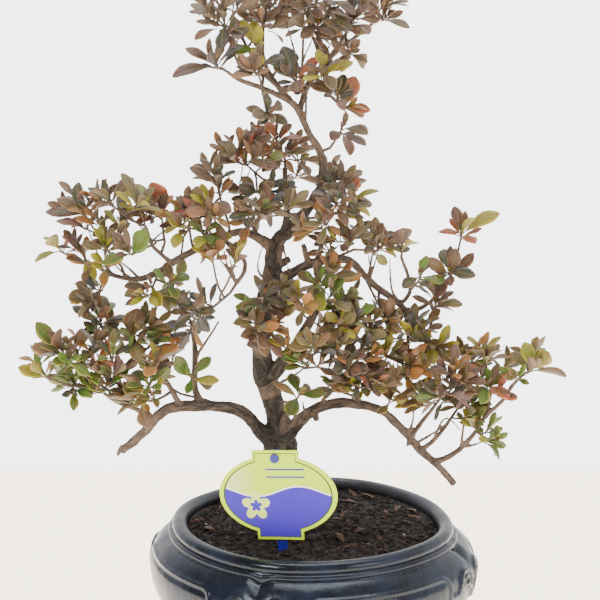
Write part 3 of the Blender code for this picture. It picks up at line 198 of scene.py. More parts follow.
def rosette(across, down, depth, tones, *tips):
    return Rosette(across, down, depth, tones, tips)


SPRAYS = {
    "spray_crown_far_left": ("crown_left", END, [
        rosette(215, 64, -22, "pbs", (172, 77, "p"), (185, 48, "b"), (209, 38, "b"), (244, 47, "s"))]),
    "spray_crown_top_left": ("crown_left", (240, 80), [
        rosette(224, 20, -16, "obs", (190, 4, "o"), (190, 20, "b"), (194, 43, "p"), (222, 50, "s"))]),
    "spray_crown_left_front": ("crown_left", (262, 88), [
        rosette(258, 68, -30, "bso", (231, 77, "b"), (236, 90, "o"), (285, 58, "s")),
        rosette(268, 112, -30, "osb", (252, 116, "o"), (262, 125, "s"), (282, 104, "b"))]),
    "spray_crown_middle": ("crown_middle", END, [
        rosette(251, 22, 12, "obs", (283, 12, "o")),
        rosette(257, 48, -14, "yyg", (241, 20, "y", 0.38), (253, 21, "y", 0.42)),
        rosette(243, -8, -2, "obb"),
        rosette(270, -36, 6, "obn")]),
    "spray_crown_right_front": ("crown_right", (313, 77), [
        rosette(337, 95, -22, "ssp", (344, 74, "s"), (334, 76, "s"), (309, 84, "p", 0.4)),
        rosette(348, 107, -12, "rnb", (355, 76, "r", 0.6), (336, 104, "b")),
        rosette(324, 70, -26, "ybo", (340, 62, "b")),
        rosette(294, 79, -18, "spb", (320, 57, "r", 0.36), (283, 46, "s", 0.52), (274, 61, "s", 0.48),
                (299, 92, "b", 0.6))]),
    "spray_crown_right_mass": ("crown_right", (327, 62), [
        rosette(318, 26, -4, "obo", (300, 38, "o"), (336, 36, "b")),
        rosette(300, -12, 6, "bon"),
        rosette(334, -4, -10, "obo")]),
    "spray_crown_right_top": ("crown_right", (342, 48), [
        rosette(352, 20, -4, "obb", (370, 34, "b"), (338, 14, "o")),
        rosette(350, 53, -14, "ob", (366, 64, "o"), (338, 66, "b"))]),
    "spray_crown_far_right": ("crown_right", END, [
        rosette(386, 17, 8, "nob", (410, 28, "o"), (384, -6, "n"), (398, 40, "b")),
        rosette(352, -8, 26, "obo")]),
    "spray_crown_back": ("crown_right", (308, 86), [
        rosette(336, 28, 42, "obn"),
        rosette(304, 6, 44, "obo")]),
    "spray_crown_back_left": ("crown_left", (252, 84), [
        rosette(236, 34, 22, "obs"),
        rosette(266, 14, 22, "bos")]),
    "spray_crown_skirt": ("trunk", (318, 149), [
        rosette(342, 128, -10, "sbo", (366, 110, "s"), (368, 135, "o"), (366, 146, "b"), (350, 156, "p"),
                (346, 102, "s"))]),
    "spray_middle_back": ("rear_high", END, [
        rosette(276, 138, 34, "brb", (250, 126, "r"), (292, 124, "b"), (262, 158, "r")),
        rosette(302, 158, 50, "obs")]),
    "spray_middle_left": ("rear_high", (285, 196), [
        rosette(244, 160, 4, "bbr", (216, 142, "b"), (212, 159, "b"), (254, 132, "r"), (268, 168, "b")),
        rosette(258, 192, -6, "sos", (238, 186, "s"), (276, 180, "s"))]),
    "spray_middle_left_high": ("left_high", (232, 234), [
        rosette(216, 178, -14, "bos", (189, 168, "b"), (193, 180, "b"), (199, 160, "b"), (236, 172, "s")),
        rosette(207, 205, -26, "ony", (195, 186, "o"), (190, 217, "n"), (232, 212, "b"))]),
    "spray_middle_left_low": ("left_high", (208, 242), [
        rosette(180, 222, -24, "byp", (180, 195, "b"), (166, 234, "y"), (162, 214, "b")),
        rosette(206, 232, -34, "gyo", (222, 244, "g"), (196, 248, "y"))]),
    "spray_middle_front": ("left_high", (250, 233), [
        rosette(262, 208, -26, "ogo", (242, 202, "o"), (284, 204, "o"), (272, 226, "b"))]),
    "spray_middle_right_high": ("trunk", (314, 200), [
        rosette(342, 184, -4, "obo", (362, 170, "o"), (367, 180, "b")),
        rosette(336, 204, -26, "sob", (328, 190, "s"))]),
    "spray_middle_right": ("trunk", (301, 217), [
        rosette(350, 203, -16, "oys", (380, 191, "y"), (372, 203, "o"), (370, 214, "y"), (352, 182, "s")),
        rosette(324, 222, -24, "osn", (302, 228, "n"), (340, 214, "s"))]),
    "spray_middle_right_low": ("right_high", (330, 260), [
        rosette(350, 240, -18, "rob", (330, 228, "r"), (364, 222, "o"), (373, 236, "o"), (342, 252, "p")),
        rosette(382, 246, -10, "bys", (396, 258, "y"))]),
    "spray_middle_rear": ("rear_high", (287, 214), [
        rosette(334, 178, 56, "obs"),
        rosette(258, 214, 52, "oob")]),
    "spray_left_far_top": ("left_high_up", END, [
        rosette(110, 200, -34, "obs", (99, 165, "o"), (134, 178, "b"), (92, 190, "o")),
        rosette(138, 204, -38, "yob", (121, 173, "o"), (140, 184, "y"))]),
    "spray_left_far_high": ("left_high", (125, 278), [
        rosette(84, 210, -14, "snp", (78, 182, "s"), (62, 188, "s"), (45, 212, "p"), (56, 199, "b"),
                (72, 228, "n")),
        rosette(122, 222, -16, "sys", (120, 195, "s", 0.5), (104, 212, "y"))]),
    "spray_left_far": ("left_high", END, [
        rosette(84, 252, -5, "psn", (66, 236, "p"), (64, 275, "r", 0.5), (93, 283, "y", 0.5), (76, 232, "s"),
                (100, 240, "o")),
        rosette(58, 247, 6, "yyn", (48, 238, "y"))]),
    "spray_left_far_low": ("left_high", (111, 275), [
        rosette(93, 294, -12, "bos", (76, 282, "b"), (68, 298, "o"), (110, 306, "b")),
        rosette(104, 246, -34, "oyo", (120, 236, "y"))]),
    "spray_left_red": ("left_high_up", (161, 254), [
        rosette(162, 212, -16, "rbp", (152, 182, "r", 0.62), (168, 196, "b"), (136, 224, "r")),
        rosette(128, 252, -52, "gpp", (148, 231, "g", 0.62), (148, 259, "p", 0.44))]),
    "spray_left_under": ("left_high", (160, 271), [
        rosette(150, 286, -30, "byo", (124, 287, "b"), (124, 296, "o"), (138, 304, "o"), (162, 306, "y")),
        rosette(172, 281, -38, "gyb", (188, 274, "g"), (166, 262, "b"))]),
    "spray_left_hanging": ("left_hanging", END, [
        rosette(192, 312, -34, "ssb", (158, 307, "s"), (176, 291, "s", 0.5), (190, 288, "s", 0.52),
                (216, 311, "s"), (210, 332, "s"), (174, 333, "s"), (205, 296, "b")),
        rosette(212, 256, -40, "ynb", (198, 240, "y"), (222, 240, "n")),
        rosette(236, 258, -42, "ybo", (244, 244, "y"))]),
    "spray_left_rear": ("left_high", (195, 250), [
        rosette(188, 212, 24, "obs"),
        rosette(174, 280, 32, "gyo")]),
    "spray_low_left_far": ("left_low_out", END, [
        rosette(74, 382, -22, "ggg", (54, 364, "g"), (92, 398, "g"), (60, 398, "g"), (88, 364, "g")),
        rosette(42, 373, -30, "yng", (18, 367, "y"), (17, 383, "n"))]),
    "spray_low_left_out": ("left_low_out", (114, 400), [
        rosette(62, 350, -40, "bob", (36, 322, "g", 0.42), (58, 330, "b"), (32, 347, "b"), (38, 356, "s")),
        rosette(95, 347, -34, "nbs", (82, 328, "s"), (102, 368, "n"))]),
    "spray_low_left_high": ("left_low_out", (128, 406), [
        rosette(100, 320, -8, "gns", (112, 302, "g"), (88, 338, "s"), (72, 306, "s")),
        rosette(108, 384, -40, "oog", (96, 372, "o"))]),
    "spray_low_left_top": ("left_low_up", END, [
        rosette(132, 341, -28, "bgb", (138, 308, "b", 0.72), (118, 318, "b", 0.5), (113, 342, "b"),
                (142, 362, "o")),
        rosette(154, 341, -20, "bog", (175, 326, "g", 0.3), (157, 317, "b", 0.64))]),
    "spray_low_left_front": ("left_low_up", (171, 389), [
        rosette(156, 362, -40, "nyb", (178, 344, "n"), (176, 352, "b"), (140, 354, "n")),
        rosette(148, 382, -46, "ggg", (132, 372, "g")),
        rosette(140, 398, -38, "nog", (118, 398, "n"), (150, 428, "p", 0.66), (128, 386, "n"))]),
    "spray_low_left_inner": ("left_low_stem", (195, 372), [
        rosette(191, 376, -26, "gyo", (211, 357, "g"), (175, 356, "g"), (213, 385, "s"), (174, 382, "s"))]),
    "spray_low_left_back": ("left_low_stem", END, [
        rosette(184, 304, 14, "ssb"),
        rosette(202, 318, 26, "ssb")]),
    "spray_low_left_rear": ("left_low", (215, 403), [
        rosette(174, 352, 34, "obn"),
        rosette(150, 372, 30, "gob")]),
    "spray_trunk_front": ("trunk", (263, 322), [
        rosette(262, 296, -24, "obs", (246, 304, "o"), (241, 313, "b"), (284, 308, "s"), (278, 280, "o")),
        rosette(258, 332, -28, "bpo", (240, 336, "p"), (280, 324, "n"), (268, 348, "p"))]),
    "spray_centre_green": ("trunk", (275, 404), [
        rosette(300, 394, -22, "gob", (291, 373, "g"), (325, 394, "g"), (288, 416, "g"))]),
    "spray_centre_twig": ("right_fork", (287, 356), [
        rosette(320, 364, -28, "pbp", (334, 376, "b"), (332, 354, "p"), (306, 374, "p")),
        rosette(288, 346, -26, "nny", (294, 364, "n"))]),
    "spray_centre_right": ("right_fork", END, [
        rosette(318, 286, -24, "gog", (298, 272, "o"), (338, 276, "g"), (322, 312, "y")),
        rosette(298, 300, -30, "oyo", (282, 300, "s")),
        rosette(346, 299, -12, "ogs", (356, 288, "g")),
        rosette(340, 326, -28, "oby", (356, 314, "o"), (326, 312, "y"))]),
    "spray_centre_low": ("right_fork_out", END, [
        rosette(345, 366, -33, "sps", (332, 370, "s"), (362, 372, "p")),
        rosette(368, 342, -16, "obs", (384, 330, "o"), (352, 336, "s"))]),
    "spray_right_inner": ("right_high", (378, 288), [
        rosette(360, 312, -14, "osb", (348, 300, "o")),
        rosette(386, 322, -10, "obo", (398, 334, "y"), (372, 326, "o"))]),
    "spray_right_low_end": ("right_high", END, [
        rosette(404, 376, -12, "obn", (386, 372, "b"), (424, 370, "n"), (416, 392, "y")),
        rosette(384, 352, -14, "yno", (392, 334, "y"), (366, 362, "n"), (396, 364, "y"))]),
    "spray_right_low_inner": ("right_low", (356, 401), [
        rosette(364, 382, -30, "obs", (384, 386, "o"), (346, 384, "s")),
        rosette(336, 386, -6, "gob")]),
    "spray_right_top": ("right_high_up", END, [
        rosette(402, 246, -12, "pby", (403, 228, "p", 0.6), (419, 243, "y"), (386, 240, "b"))]),
    "spray_right_front": ("right_high_up", (409, 284), [
        rosette(420, 276, -22, "bsg", (428, 258, "b"), (438, 282, "g"), (402, 288, "s"))]),
    "spray_right_far_high": ("right_high_out", END, [
        rosette(449, 273, -12, "psp", (425, 258, "p", 0.36), (443, 249, "s", 0.5), (456, 248, "p", 0.5),
                (474, 253, "p", 0.36), (476, 276, "s", 0.36), (436, 283, "s", 0.5)),
        rosette(462, 232, -2, "byr", (454, 206, "p", 0.5), (470, 207, "s", 0.6), (500, 213, "y", 0.4),
                (441, 232, "r", 0.3), (476, 244, "r", 0.3))]),
    "spray_right_middle": ("right_high_out", (430, 303), [
        rosette(436, 303, -8, "bob", (454, 312, "b"), (446, 290, "o")),
        rosette(428, 344, -8, "ony", (448, 338, "y"), (412, 352, "n"), (416, 330, "s"))]),
    "spray_right_rear": ("right_high", (366, 277), [
        rosette(374, 240, 40, "obs"),
        rosette(392, 316, 50, "obo")]),
    "spray_low_right_front": ("right_low_up", END, [
        rosette(454, 384, -28, "ppb", (424, 384, "p"), (428, 396, "p"), (470, 366, "b"), (478, 392, "p"))]),
    "spray_low_right_middle": ("right_low_stem", END, [
        rosette(468, 404, -6, "gob", (470, 414, "o")),
        rosette(462, 358, 8, "bob", (446, 352, "b"), (476, 346, "o"))]),
    "spray_low_right_out": ("right_low_out", END, [
        rosette(488, 384, -24, "rgp", (510, 397, "r"), (503, 374, "p"), (480, 404, "g")),
        rosette(486, 358, -10, "oby", (503, 350, "b"), (472, 350, "o"))]),
    "spray_low_right_far": ("right_low_far", END, [
        rosette(532, 368, -22, "opb", (524, 342, "y", 0.66), (511, 352, "o", 0.5), (549, 352, "y", 0.5),
                (567, 377, "b"), (533, 392, "p"), (551, 393, "p"))]),
    "spray_low_right_under": ("right_low_out", (470, 439), [
        rosette(492, 440, -18, "gyg", (499, 426, "g"), (494, 457, "g"), (522, 449, "g"))]),
    "spray_rear_low": ("rear_low", END, [
        rosette(290, 292, 68, "obs"),
        rosette(322, 322, 70, "bob"),
        rosette(256, 312, 66, "osb")]),
}

# Shoots and leaves
SEED = 27
LIMB_STEP = 11 * MM
TWIG_STEP = 26 * MM
STEM_SLANT = 0.6
STEM_START = 0.5
STEM_LEAVES_BY = 7 * MM
TWIG_ROOT_MM = 1.15
TWIG_TIP_MM = 0.95
TWIG_SIDES = 4
TWIG_SAG = 0.06
FORK_HALF = 1.1 * MM
FORK_PLACES = (0.35, 0.65)
SHORT_LEG = 3.5 * FORK_HALF
MOST_OF_LEG = 0.3
BOW_STEP = 1.4 * MM
SHOOT_LEVELS = 2
LEVEL_HEIGHT = 2.1 * MM
SHOOT_RISE = 0.75
SHOOT_SHARE = 0.3
LEAST_LEAVES = 4
ADDED_LEAVES = 1
LEAF_LENGTHS = (0.0125, 0.0195)
TIP_LENGTHS = (0.014, 0.022)
TIP_STRAY = 3 * MM
LEAF_SLIMNESS = (0.40, 0.52)
LEAF_ARCHES = (0.04, 0.13)
LEAF_THICK = 0.7 * MM
LEAF_SECTIONS = [(0.36, 0.80), (0.70, 0.96)]
OUTER_LEAN = math.radians(80)
INNER_LEAN = math.radians(38)
INNER_SHRINK = 0.25
LEAN_STRAY = 0.25
SWING_STRAY = 0.5
FACE_STRAY = 0.25
LEAST_LIFT = 0.2
FRONT = Vector((0, -1, 0.2))
TO_FRONT, SHOWN_TO_FRONT = 0.5, 1.5
LEAST_FACING = 0.3
NEIGHBOUR_SHARE = 0.6
GUARD = 0.35 * MM
GUARD_SIDES = 6
TUBE_SIDE = Vector((0.31, 0.83, 0.46))
GUARD_START = (0.2, 0.45)
ROOT_SHARE = 0.06
TRIES = 14

# A twig's rings are its cross-sections; fork_of is the side of its spray's first twig that it grows from.
Twig = namedtuple("Twig", "route rings fork_of")
Leaf = namedtuple("Leaf", "side root reach face across width arch tone")


def seen(across, down, depth):
    """The point at a place in the front view, so many millimetres behind the pot's axis."""
    side = (across - PICTURE_MIDDLE) / VIEW_FOCAL
    rise = (PICTURE_MIDDLE - down) / VIEW_FOCAL
    pitch_cos, pitch_sin = math.cos(VIEW_PITCH), math.sin(VIEW_PITCH)
    sight = Vector((side, pitch_cos + rise * pitch_sin, rise * pitch_cos - pitch_sin))
    return VIEW_EYE + sight * ((depth * MM - VIEW_EYE.y) / sight.y)


def square_to(way, axis):
    """The direction nearest to a way that stands square to an axis."""
    return (way - axis * way.dot(axis)).normalized()


def stray(draws, most):
    """A random step, each part of it at most this long."""
    return Vector([draws.uniform(-most, most) for _ in range(3)])


def smooth_route(points, step):
    """Four-part vectors, place and radius, along a smooth curve through the given ones."""
    ends = [points[0] * 2 - points[1]] + points + [points[-1] * 2 - points[-2]]
    route = []
    for before, start, end, after in zip(ends, ends[1:], ends[2:], ends[3:]):
        spans = max(1, round((end - start).to_3d().length / step))
        for i in range(spans):
            t = i / spans
            bend = (before * -1 + start * 3 - end * 3 + after) * t ** 3
            bend += (before * 2 - start * 5 + end * 4 - after) * t ** 2
            bend += (end - before) * t
            route.append(start + bend * 0.5)
    return route + [points[-1].copy()]


def limb_route(points, step):
    """The route along points given as across, down, depth in mm and radius in mm."""
    places = []
    for across, down, depth, radius in points:
        places.append(Vector((*seen(across, down, depth), radius * MM)))
    return smooth_route(places, step)


def place_on_limb(route, across, down):
    """The number of the point of a limb's middle line that shows nearest to a place in the front view."""
    sight = (seen(across, down, 0) - VIEW_EYE).normalized()
    return min(range(1, len(route)), key=lambda i: (route[i].to_3d() - VIEW_EYE).cross(sight).length)


def directions(route):
    """The direction a route takes at each of its points."""
    found = []
    for i in range(len(route)):
        found.append((route[min(i + 1, len(route) - 1)] - route[max(i - 1, 0)]).to_3d().normalized())
    return found


def ring(centre, along, across, radius, sides):
    """A ring of points about a direction, and the first one's direction from the middle."""
    across = square_to(across, along)
    other = along.cross(across)
    turns = [2 * math.pi * i / sides for i in range(sides)]
    return [centre + (across * math.cos(turn) + other * math.sin(turn)) * radius for turn in turns], across


def tube_rings(route, across, sides, margin=0.0):
    """A ring of points round each point of a route, turned as little as can be from one to the next."""
    rings = []
    for point, along in zip(route, directions(route)):
        points, across = ring(point.to_3d(), along, across, point.w + margin, sides)
        rings.append(points)
    return rings


def loft(rings):
    """Corner points and faces of a closed skin over rings of equal count; the last may be one point."""
    corners, faces, starts = [], [], []
    for points in rings:
        starts.append(len(corners))
        corners.extend(points)
    count = len(rings[0])
    for row, start in enumerate(starts[:-1]):
        upper = starts[row + 1]
        single = len(rings[row + 1]) == 1
        for i in range(count):
            j = (i + 1) % count
            if single:
                faces.append((start + i, start + j, upper))
            else:
                faces.append((start + i, start + j, upper + j, upper + i))
    faces.append(tuple(range(count))[::-1])
    if len(rings[-1]) == count:
        faces.append(tuple(range(starts[-1], starts[-1] + count)))
    return corners, faces


def tube(route, sides, margin=0.0):
    """Points and faces of a closed tube along a route."""
    return loft(tube_rings(route, TUBE_SIDE, sides, margin))


def tube_guard(route):
    """A search tree of a slightly fatter tube, for keeping other pieces clear of it."""
    return BVHTree.FromPolygons(*tube(route, GUARD_SIDES, GUARD))


def twig_route(start, leaving, centre, bow):
    """A twig's route from its start to a rosette, where it turns upwards in a short straight shoot."""
    span = centre - start.to_3d()
    axis = (span.normalized() + Vector((0, 0, SHOOT_RISE))).normalized()
    height = min(LEVEL_HEIGHT, SHOOT_SHARE * span.length / SHOOT_LEVELS)
    foot = centre - axis * height * SHOOT_LEVELS
    leaves_by = min(STEM_LEAVES_BY, SHOOT_SHARE * span.length)
    points = [start, Vector((*(start.to_3d() + leaving * leaves_by), start.w))]
    if span.length > TWIG_STEP:
        middle = (points[-1].to_3d() + foot) / 2 + bow - Vector((0, 0, TWIG_SAG * span.length))
        points.append(Vector((*middle, start.w)))
    points.append(Vector((*foot, TWIG_TIP_MM * MM)))
    route = smooth_route(points, TWIG_STEP)
    for level in range(1, SHOOT_LEVELS + 1):
        route.append(Vector((*(foot + axis * height * level), TWIG_TIP_MM * MM)))
    return route


def with_fork(route, target):
    """The route with two close points where a twig to the target leaves it, and the first one's index."""
    legs = []
    for i in range(1, len(route) - SHOOT_LEVELS - 1):
        leg = (route[i + 1] - route[i]).to_3d()
        share = (target - route[i].to_3d()).dot(leg) / leg.length_squared
        share = min(FORK_PLACES[1], max(FORK_PLACES[0], share))
        apart = (route[i].lerp(route[i + 1], share).to_3d() - target).length
        legs.append((leg.length < SHORT_LEG, apart, i, share, leg.length))
    _, _, i, share, length = min(legs)
    half = min(FORK_HALF / length, MOST_OF_LEG)
    below = route[i].lerp(route[i + 1], share - half)
    above = route[i].lerp(route[i + 1], share + half)
    return route[:i + 1] + [below, above] + route[i + 1:], i + 1


def side_corners(rings, segment, side):
    """The four corners of a side face of a twig, anticlockwise from outside."""
    after = (side + 1) % TWIG_SIDES
    return [rings[segment][side], rings[segment][after], rings[segment + 1][after], rings[segment + 1][side]]


def side_frame(rings, segment, side):
    """A twig's side face: its middle, its outward direction and its corners."""
    corners = side_corners(rings, segment, side)
    middle = (corners[0] + corners[1] + corners[2] + corners[3]) / 4
    return middle, (corners[1] - corners[0]).cross(corners[3] - corners[0]).normalized(), corners


def set_out_twigs(draws, limb_points, place, centres, barriers):
    """The routes of a spray's twigs: the first from the limb, the others from its sides."""
    at = len(limb_points) - 1 if place is END else place_on_limb(limb_points, *place)
    root = limb_points[at].to_3d()
    along = (limb_points[at] - limb_points[at - 1]).to_3d().normalized()
    out = (centres[0] - root).normalized()
    leaving = along if place is END else (out - along * out.dot(along) * STEM_SLANT).normalized()
    start = root if place is END else root + leaving * limb_points[at].w * STEM_START
    start = Vector((*start, min(TWIG_ROOT_MM * MM, limb_points[at].w)))
    stem = clear_route(draws, start, leaving, centres[0], barriers)
    forks = []
    for centre in centres[1:]:
        stem, at = with_fork(stem, centre)
        forks = [fork + 2 if fork >= at else fork for fork in forks] + [at]
    rings = tube_rings(stem, Vector((draws.uniform(-1, 1), draws.uniform(-1, 1), 0.2)), TWIG_SIDES)
    twigs = [Twig(stem, rings, None)]
    barriers = barriers + [tube_guard(stem)]
    for fork, centre in zip(forks, centres[1:]):
        used = [twig.fork_of for twig in twigs]
        open_sides = [side for side in range(TWIG_SIDES) if (fork, side) not in used]
        frames = {side: side_frame(rings, fork, side) for side in open_sides}
        side = max(frames, key=lambda s: frames[s][1].dot((centre - frames[s][0]).normalized()))
        middle, outward, corners = frames[side]
        leaving = (outward + (centre - middle).normalized()).normalized()
        route = clear_route(draws, Vector((*middle, TWIG_TIP_MM * MM)), leaving, centre, barriers)
        grown = [corners] + tube_rings(route, corners[0] - middle, TWIG_SIDES)[1:]
        twigs.append(Twig(route, grown, (fork, side)))
        barriers.append(tube_guard(route))
    return twigs


def clear_route(draws, start, leaving, centre, barriers):
    """A twig's route, bowed a little more each time until it passes clear of the wood and other twigs."""
    straight = twig_route(start, leaving, centre, Vector())
    for attempt in range(TRIES):
        bow = stray(draws, 1) * BOW_STEP * attempt
        route = twig_route(start, leaving, centre, bow)
        guard = tube_guard(route[1:])
        if not any(guard.overlap(barrier) for barrier in barriers):
            return route
    return straight


def leaf_middle(leaf, t):
    """The middle of a leaf at a share of its length, along its arched rib."""
    return leaf.root + leaf.reach * t + leaf.face * leaf.arch * leaf.reach.length * 4 * t * (1 - t)


def leaf_section(leaf, t, share, margin=0.0):
    """A leaf's four corners at a share of its length: two along its lower face, then two along its upper."""
    middle = leaf_middle(leaf, t)
    half = leaf.across * (leaf.width * 0.5 * share + margin)
    rise = leaf.face * (LEAF_THICK * 0.5 + margin)
    return [middle + half - rise, middle - half - rise, middle - half + rise, middle + half + rise]


def leaf_guards(leaf, corners):
    """Search trees of a fatter leaf without its root, and of the leaf as it is almost down to its root."""
    tip = leaf.root + leaf.reach
    fat = [leaf_section(leaf, t, share, GUARD) for t, share in [GUARD_START] + LEAF_SECTIONS]
    fat.append([tip + leaf.reach.normalized() * GUARD])
    bare = [leaf_section(leaf, t, share) for t, share in LEAF_SECTIONS]
    near_root = [corner.lerp(section, ROOT_SHARE) for corner, section in zip(corners, bare[0])]
    whole = [near_root] + bare + [[tip]]
    return BVHTree.FromPolygons(*loft(fat)), BVHTree.FromPolygons(*loft(whole))


def is_clear(leaf, guards, placed, barriers):
    """Whether a leaf keeps clear of the leaves already placed and of all the wood."""
    middle = leaf.root + leaf.reach * 0.5
    for other, other_guards in placed:
        apart = (other.root + other.reach * 0.5 - middle).length
        if apart > (other.reach.length + leaf.reach.length) * NEIGHBOUR_SHARE:
            continue
        if guards[0].overlap(other_guards[0]) or guards[1].overlap(other_guards[1]):
            return False
    return not any(guards[0].overlap(barrier) for barrier in barriers)


def reach_for_tip(draws, root, tip):
    """From a leaf's root to a given tip, nearer or farther than the root by what length is left."""
    sight = (seen(tip[0], tip[1], 0) - VIEW_EYE).normalized()
    nearest = VIEW_EYE + sight * (root - VIEW_EYE).dot(sight)
    spare = draws.uniform(*TIP_LENGTHS) ** 2 - (nearest - root).length_squared
    swing = draws.choice((-1, -1, 1)) * math.sqrt(max(0, spare))
    return nearest + sight * (swing + draws.uniform(-TIP_STRAY, TIP_STRAY)) - root


def reach_by_rule(draws, axis, outward, level):
    """From a leaf's root to its tip, leaning out more on the lower level of a shoot."""
    share = level / (SHOOT_LEVELS - 1)
    lean = OUTER_LEAN + (INNER_LEAN - OUTER_LEAN) * share + draws.uniform(-LEAN_STRAY, LEAN_STRAY)
    swung = Matrix.Rotation(draws.uniform(-SWING_STRAY, SWING_STRAY), 3, axis) @ outward
    length = draws.uniform(*LEAF_LENGTHS) * (1 - INNER_SHRINK * share)
    return (axis * math.cos(lean) + swung * math.sin(lean)) * length


def draw_leaf(draws, rings, free, tones, tip):
    """One leaf on a free side of a shoot, drawn by the rule or reaching for a given tip."""
    shown = tip is not None and len(tip) > 3
    axis = (rings[-1][0] - rings[-2][0]).normalized()
    frames = {side: side_frame(rings, *side) for side in free}
    if tip:
        middle = sum((frame[0] for frame in frames.values()), Vector()) / len(frames)
        aim = reach_for_tip(draws, middle, tip).normalized()
        side = max(frames, key=lambda s: frames[s][1].dot(aim))
        reach = reach_for_tip(draws, frames[side][0], tip)
        tone = tip[2]
    else:
        side = draws.choice(free)
        reach = reach_by_rule(draws, axis, frames[side][1], side[0] - (len(rings) - 1 - SHOOT_LEVELS))
        tone = draws.choice(tones)
    root, outward, corners = frames[side]
    aim = reach.normalized()
    face = axis * max(LEAST_LIFT, outward.dot(aim)) - outward * axis.dot(aim)
    face = square_to(face + stray(draws, FACE_STRAY), aim)
    to_front = SHOWN_TO_FRONT if shown else TO_FRONT
    face = square_to(face + FRONT * math.copysign(to_front, face.dot(FRONT)), aim)
    across = face.cross(aim)
    if across.dot(corners[0] - corners[1]) < 0:
        across = -across
    slimness = draws.uniform(*LEAF_SLIMNESS)
    width = reach.length * (tip[3] if shown else slimness)
    return Leaf(side, root, reach, face, across, width, draws.uniform(*LEAF_ARCHES), tone)


def set_out_leaves(draws, found, rings, placed, barriers):
    """The leaves of one rosette, each on its own side of the shoot and clear of everything placed before."""
    first = len(rings) - 1 - SHOOT_LEVELS
    free = [(first + level, side) for level in range(SHOOT_LEVELS) for side in range(TWIG_SIDES)]
    leaves = []
    for rank in range(max(LEAST_LEAVES, len(found.tips) + ADDED_LEAVES)):
        tip = found.tips[rank] if rank < len(found.tips) else None
        for _ in range(TRIES):
            leaf = draw_leaf(draws, rings, free, found.tones, tip)
            _, outward, corners = side_frame(rings, *leaf.side)
            if outward.dot(leaf.reach.normalized()) < LEAST_FACING:
                continue
            guards = leaf_guards(leaf, corners)
            if is_clear(leaf, guards, placed, barriers):
                placed.append((leaf, guards))
                leaves.append(leaf)
                free.remove(leaf.side)
                break
        if not free:
            break
    return leaves


def set_out_tree():
    """Every limb's route, and each spray's twigs and leaves, with nothing crossing its neighbours."""
    routes = {name: limb_route(points, LIMB_STEP) for name, points in LIMBS.items()}
    barriers = [tube_guard(route) for route in routes.values()]
    sprays = {}
    for name, (limb, place, rosettes) in SPRAYS.items():
        draws = random.Random(f"{SEED} {name} twigs")
        start = LIMBS[limb][-1][:2] if place is END else place
        rosettes = sorted(rosettes, key=lambda r: -math.hypot(r.across - start[0], r.down - start[1]))
        centres = [seen(found.across, found.down, found.depth) for found in rosettes]
        twigs = set_out_twigs(draws, routes[limb], place, centres, barriers)
        sprays[name] = {"twigs": twigs, "rosettes": rosettes, "leaves": []}
        barriers += [tube_guard(twig.route) for twig in twigs]
    placed = []
    for name, spray in sprays.items():
        draws = random.Random(f"{SEED} {name} leaves")
        for found, twig in zip(spray["rosettes"], spray["twigs"]):
            spray["leaves"].append(set_out_leaves(draws, found, twig.rings, placed, barriers))
    return routes, sprays


# Meshes, pieces and material nodes
def link_mesh(name, corners, faces, materials, smooth=True):
    """A mesh object from its points and faces."""
    mesh = bpy.data.meshes.new(name)
    mesh.from_pydata([tuple(corner) for corner in corners], [], faces)
    for material in materials:
        mesh.materials.append(material)
    if smooth:
        mesh.shade_smooth()
    made = bpy.data.objects.new(name, mesh)
    bpy.context.scene.collection.objects.link(made)
    return made


def counted_from(start, faces):
    """Faces whose points are counted on from a start."""
    return [tuple(start + i for i in face) for face in faces]


def set_attribute(mesh, name, kind, values):
    attribute = mesh.attributes.new(name, kind, "POINT")
    field = {"FLOAT_COLOR": "color", "FLOAT_VECTOR": "vector"}.get(kind, "value")
    attribute.data.foreach_set(field, np.asarray(values, np.float32).ravel())


def set_tones(mesh, tones):
    """A colour at each point, kept under the name tone."""
    set_attribute(mesh, "tone", "FLOAT_COLOR", np.column_stack([tones, np.ones(len(tones))]))


def settle(piece, slot_name, *nodes):
    """The piece rides on the body and stands for its nodes, whose solids it hides; its slot name is not used.
    """
    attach(piece, "root")
    if nodes:
        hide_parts(*nodes)
    return piece


def linear(text):
    """A colour written as six hex digits, as the linear values that shaders use."""
    shares = [int(text[i:i + 2], 16) / 255 for i in (0, 2, 4)]
    return tuple(Color(shares).from_srgb_to_scene_linear())


def new_material(name, roughness=0.5, **shader_values):
    """A material, its node tree and its main shader; the keywords set sockets of the shader."""
    material = bpy.data.materials.new(name)
    material.use_nodes = True
    tree = material.node_tree
    shader = tree.nodes["Principled BSDF"]
    shader.inputs["Roughness"].default_value = roughness
    for key, value in shader_values.items():
        shader.inputs[key.replace("_", " ")].default_value = value
    return material, tree, shader


def put(tree, kind, inputs=None, **settings):
    """A new node, whose inputs are given by name or number as values or as other nodes' outputs."""
    made = tree.nodes.new("ShaderNode" + kind)
    for key, value in settings.items():
        setattr(made, key, value)
    for key, value in (inputs or {}).items():
        if isinstance(value, bpy.types.NodeSocket):
            tree.links.new(value, made.inputs[key])
        else:
            made.inputs[key].default_value = value
    return made


def sums(tree, operation, first, second=0.0, third=0.0):
    return put(tree, "Math", {0: first, 1: second, 2: third}, operation=operation).outputs[0]


def ramp(tree, value, low, high, start=0.0, end=1.0):
    """From start to end as the value goes from low to high, eased at both ends."""
    inputs = {0: value, 1: low, 2: high, 3: start, 4: end}
    return put(tree, "MapRange", inputs, interpolation_type="SMOOTHSTEP").outputs[0]


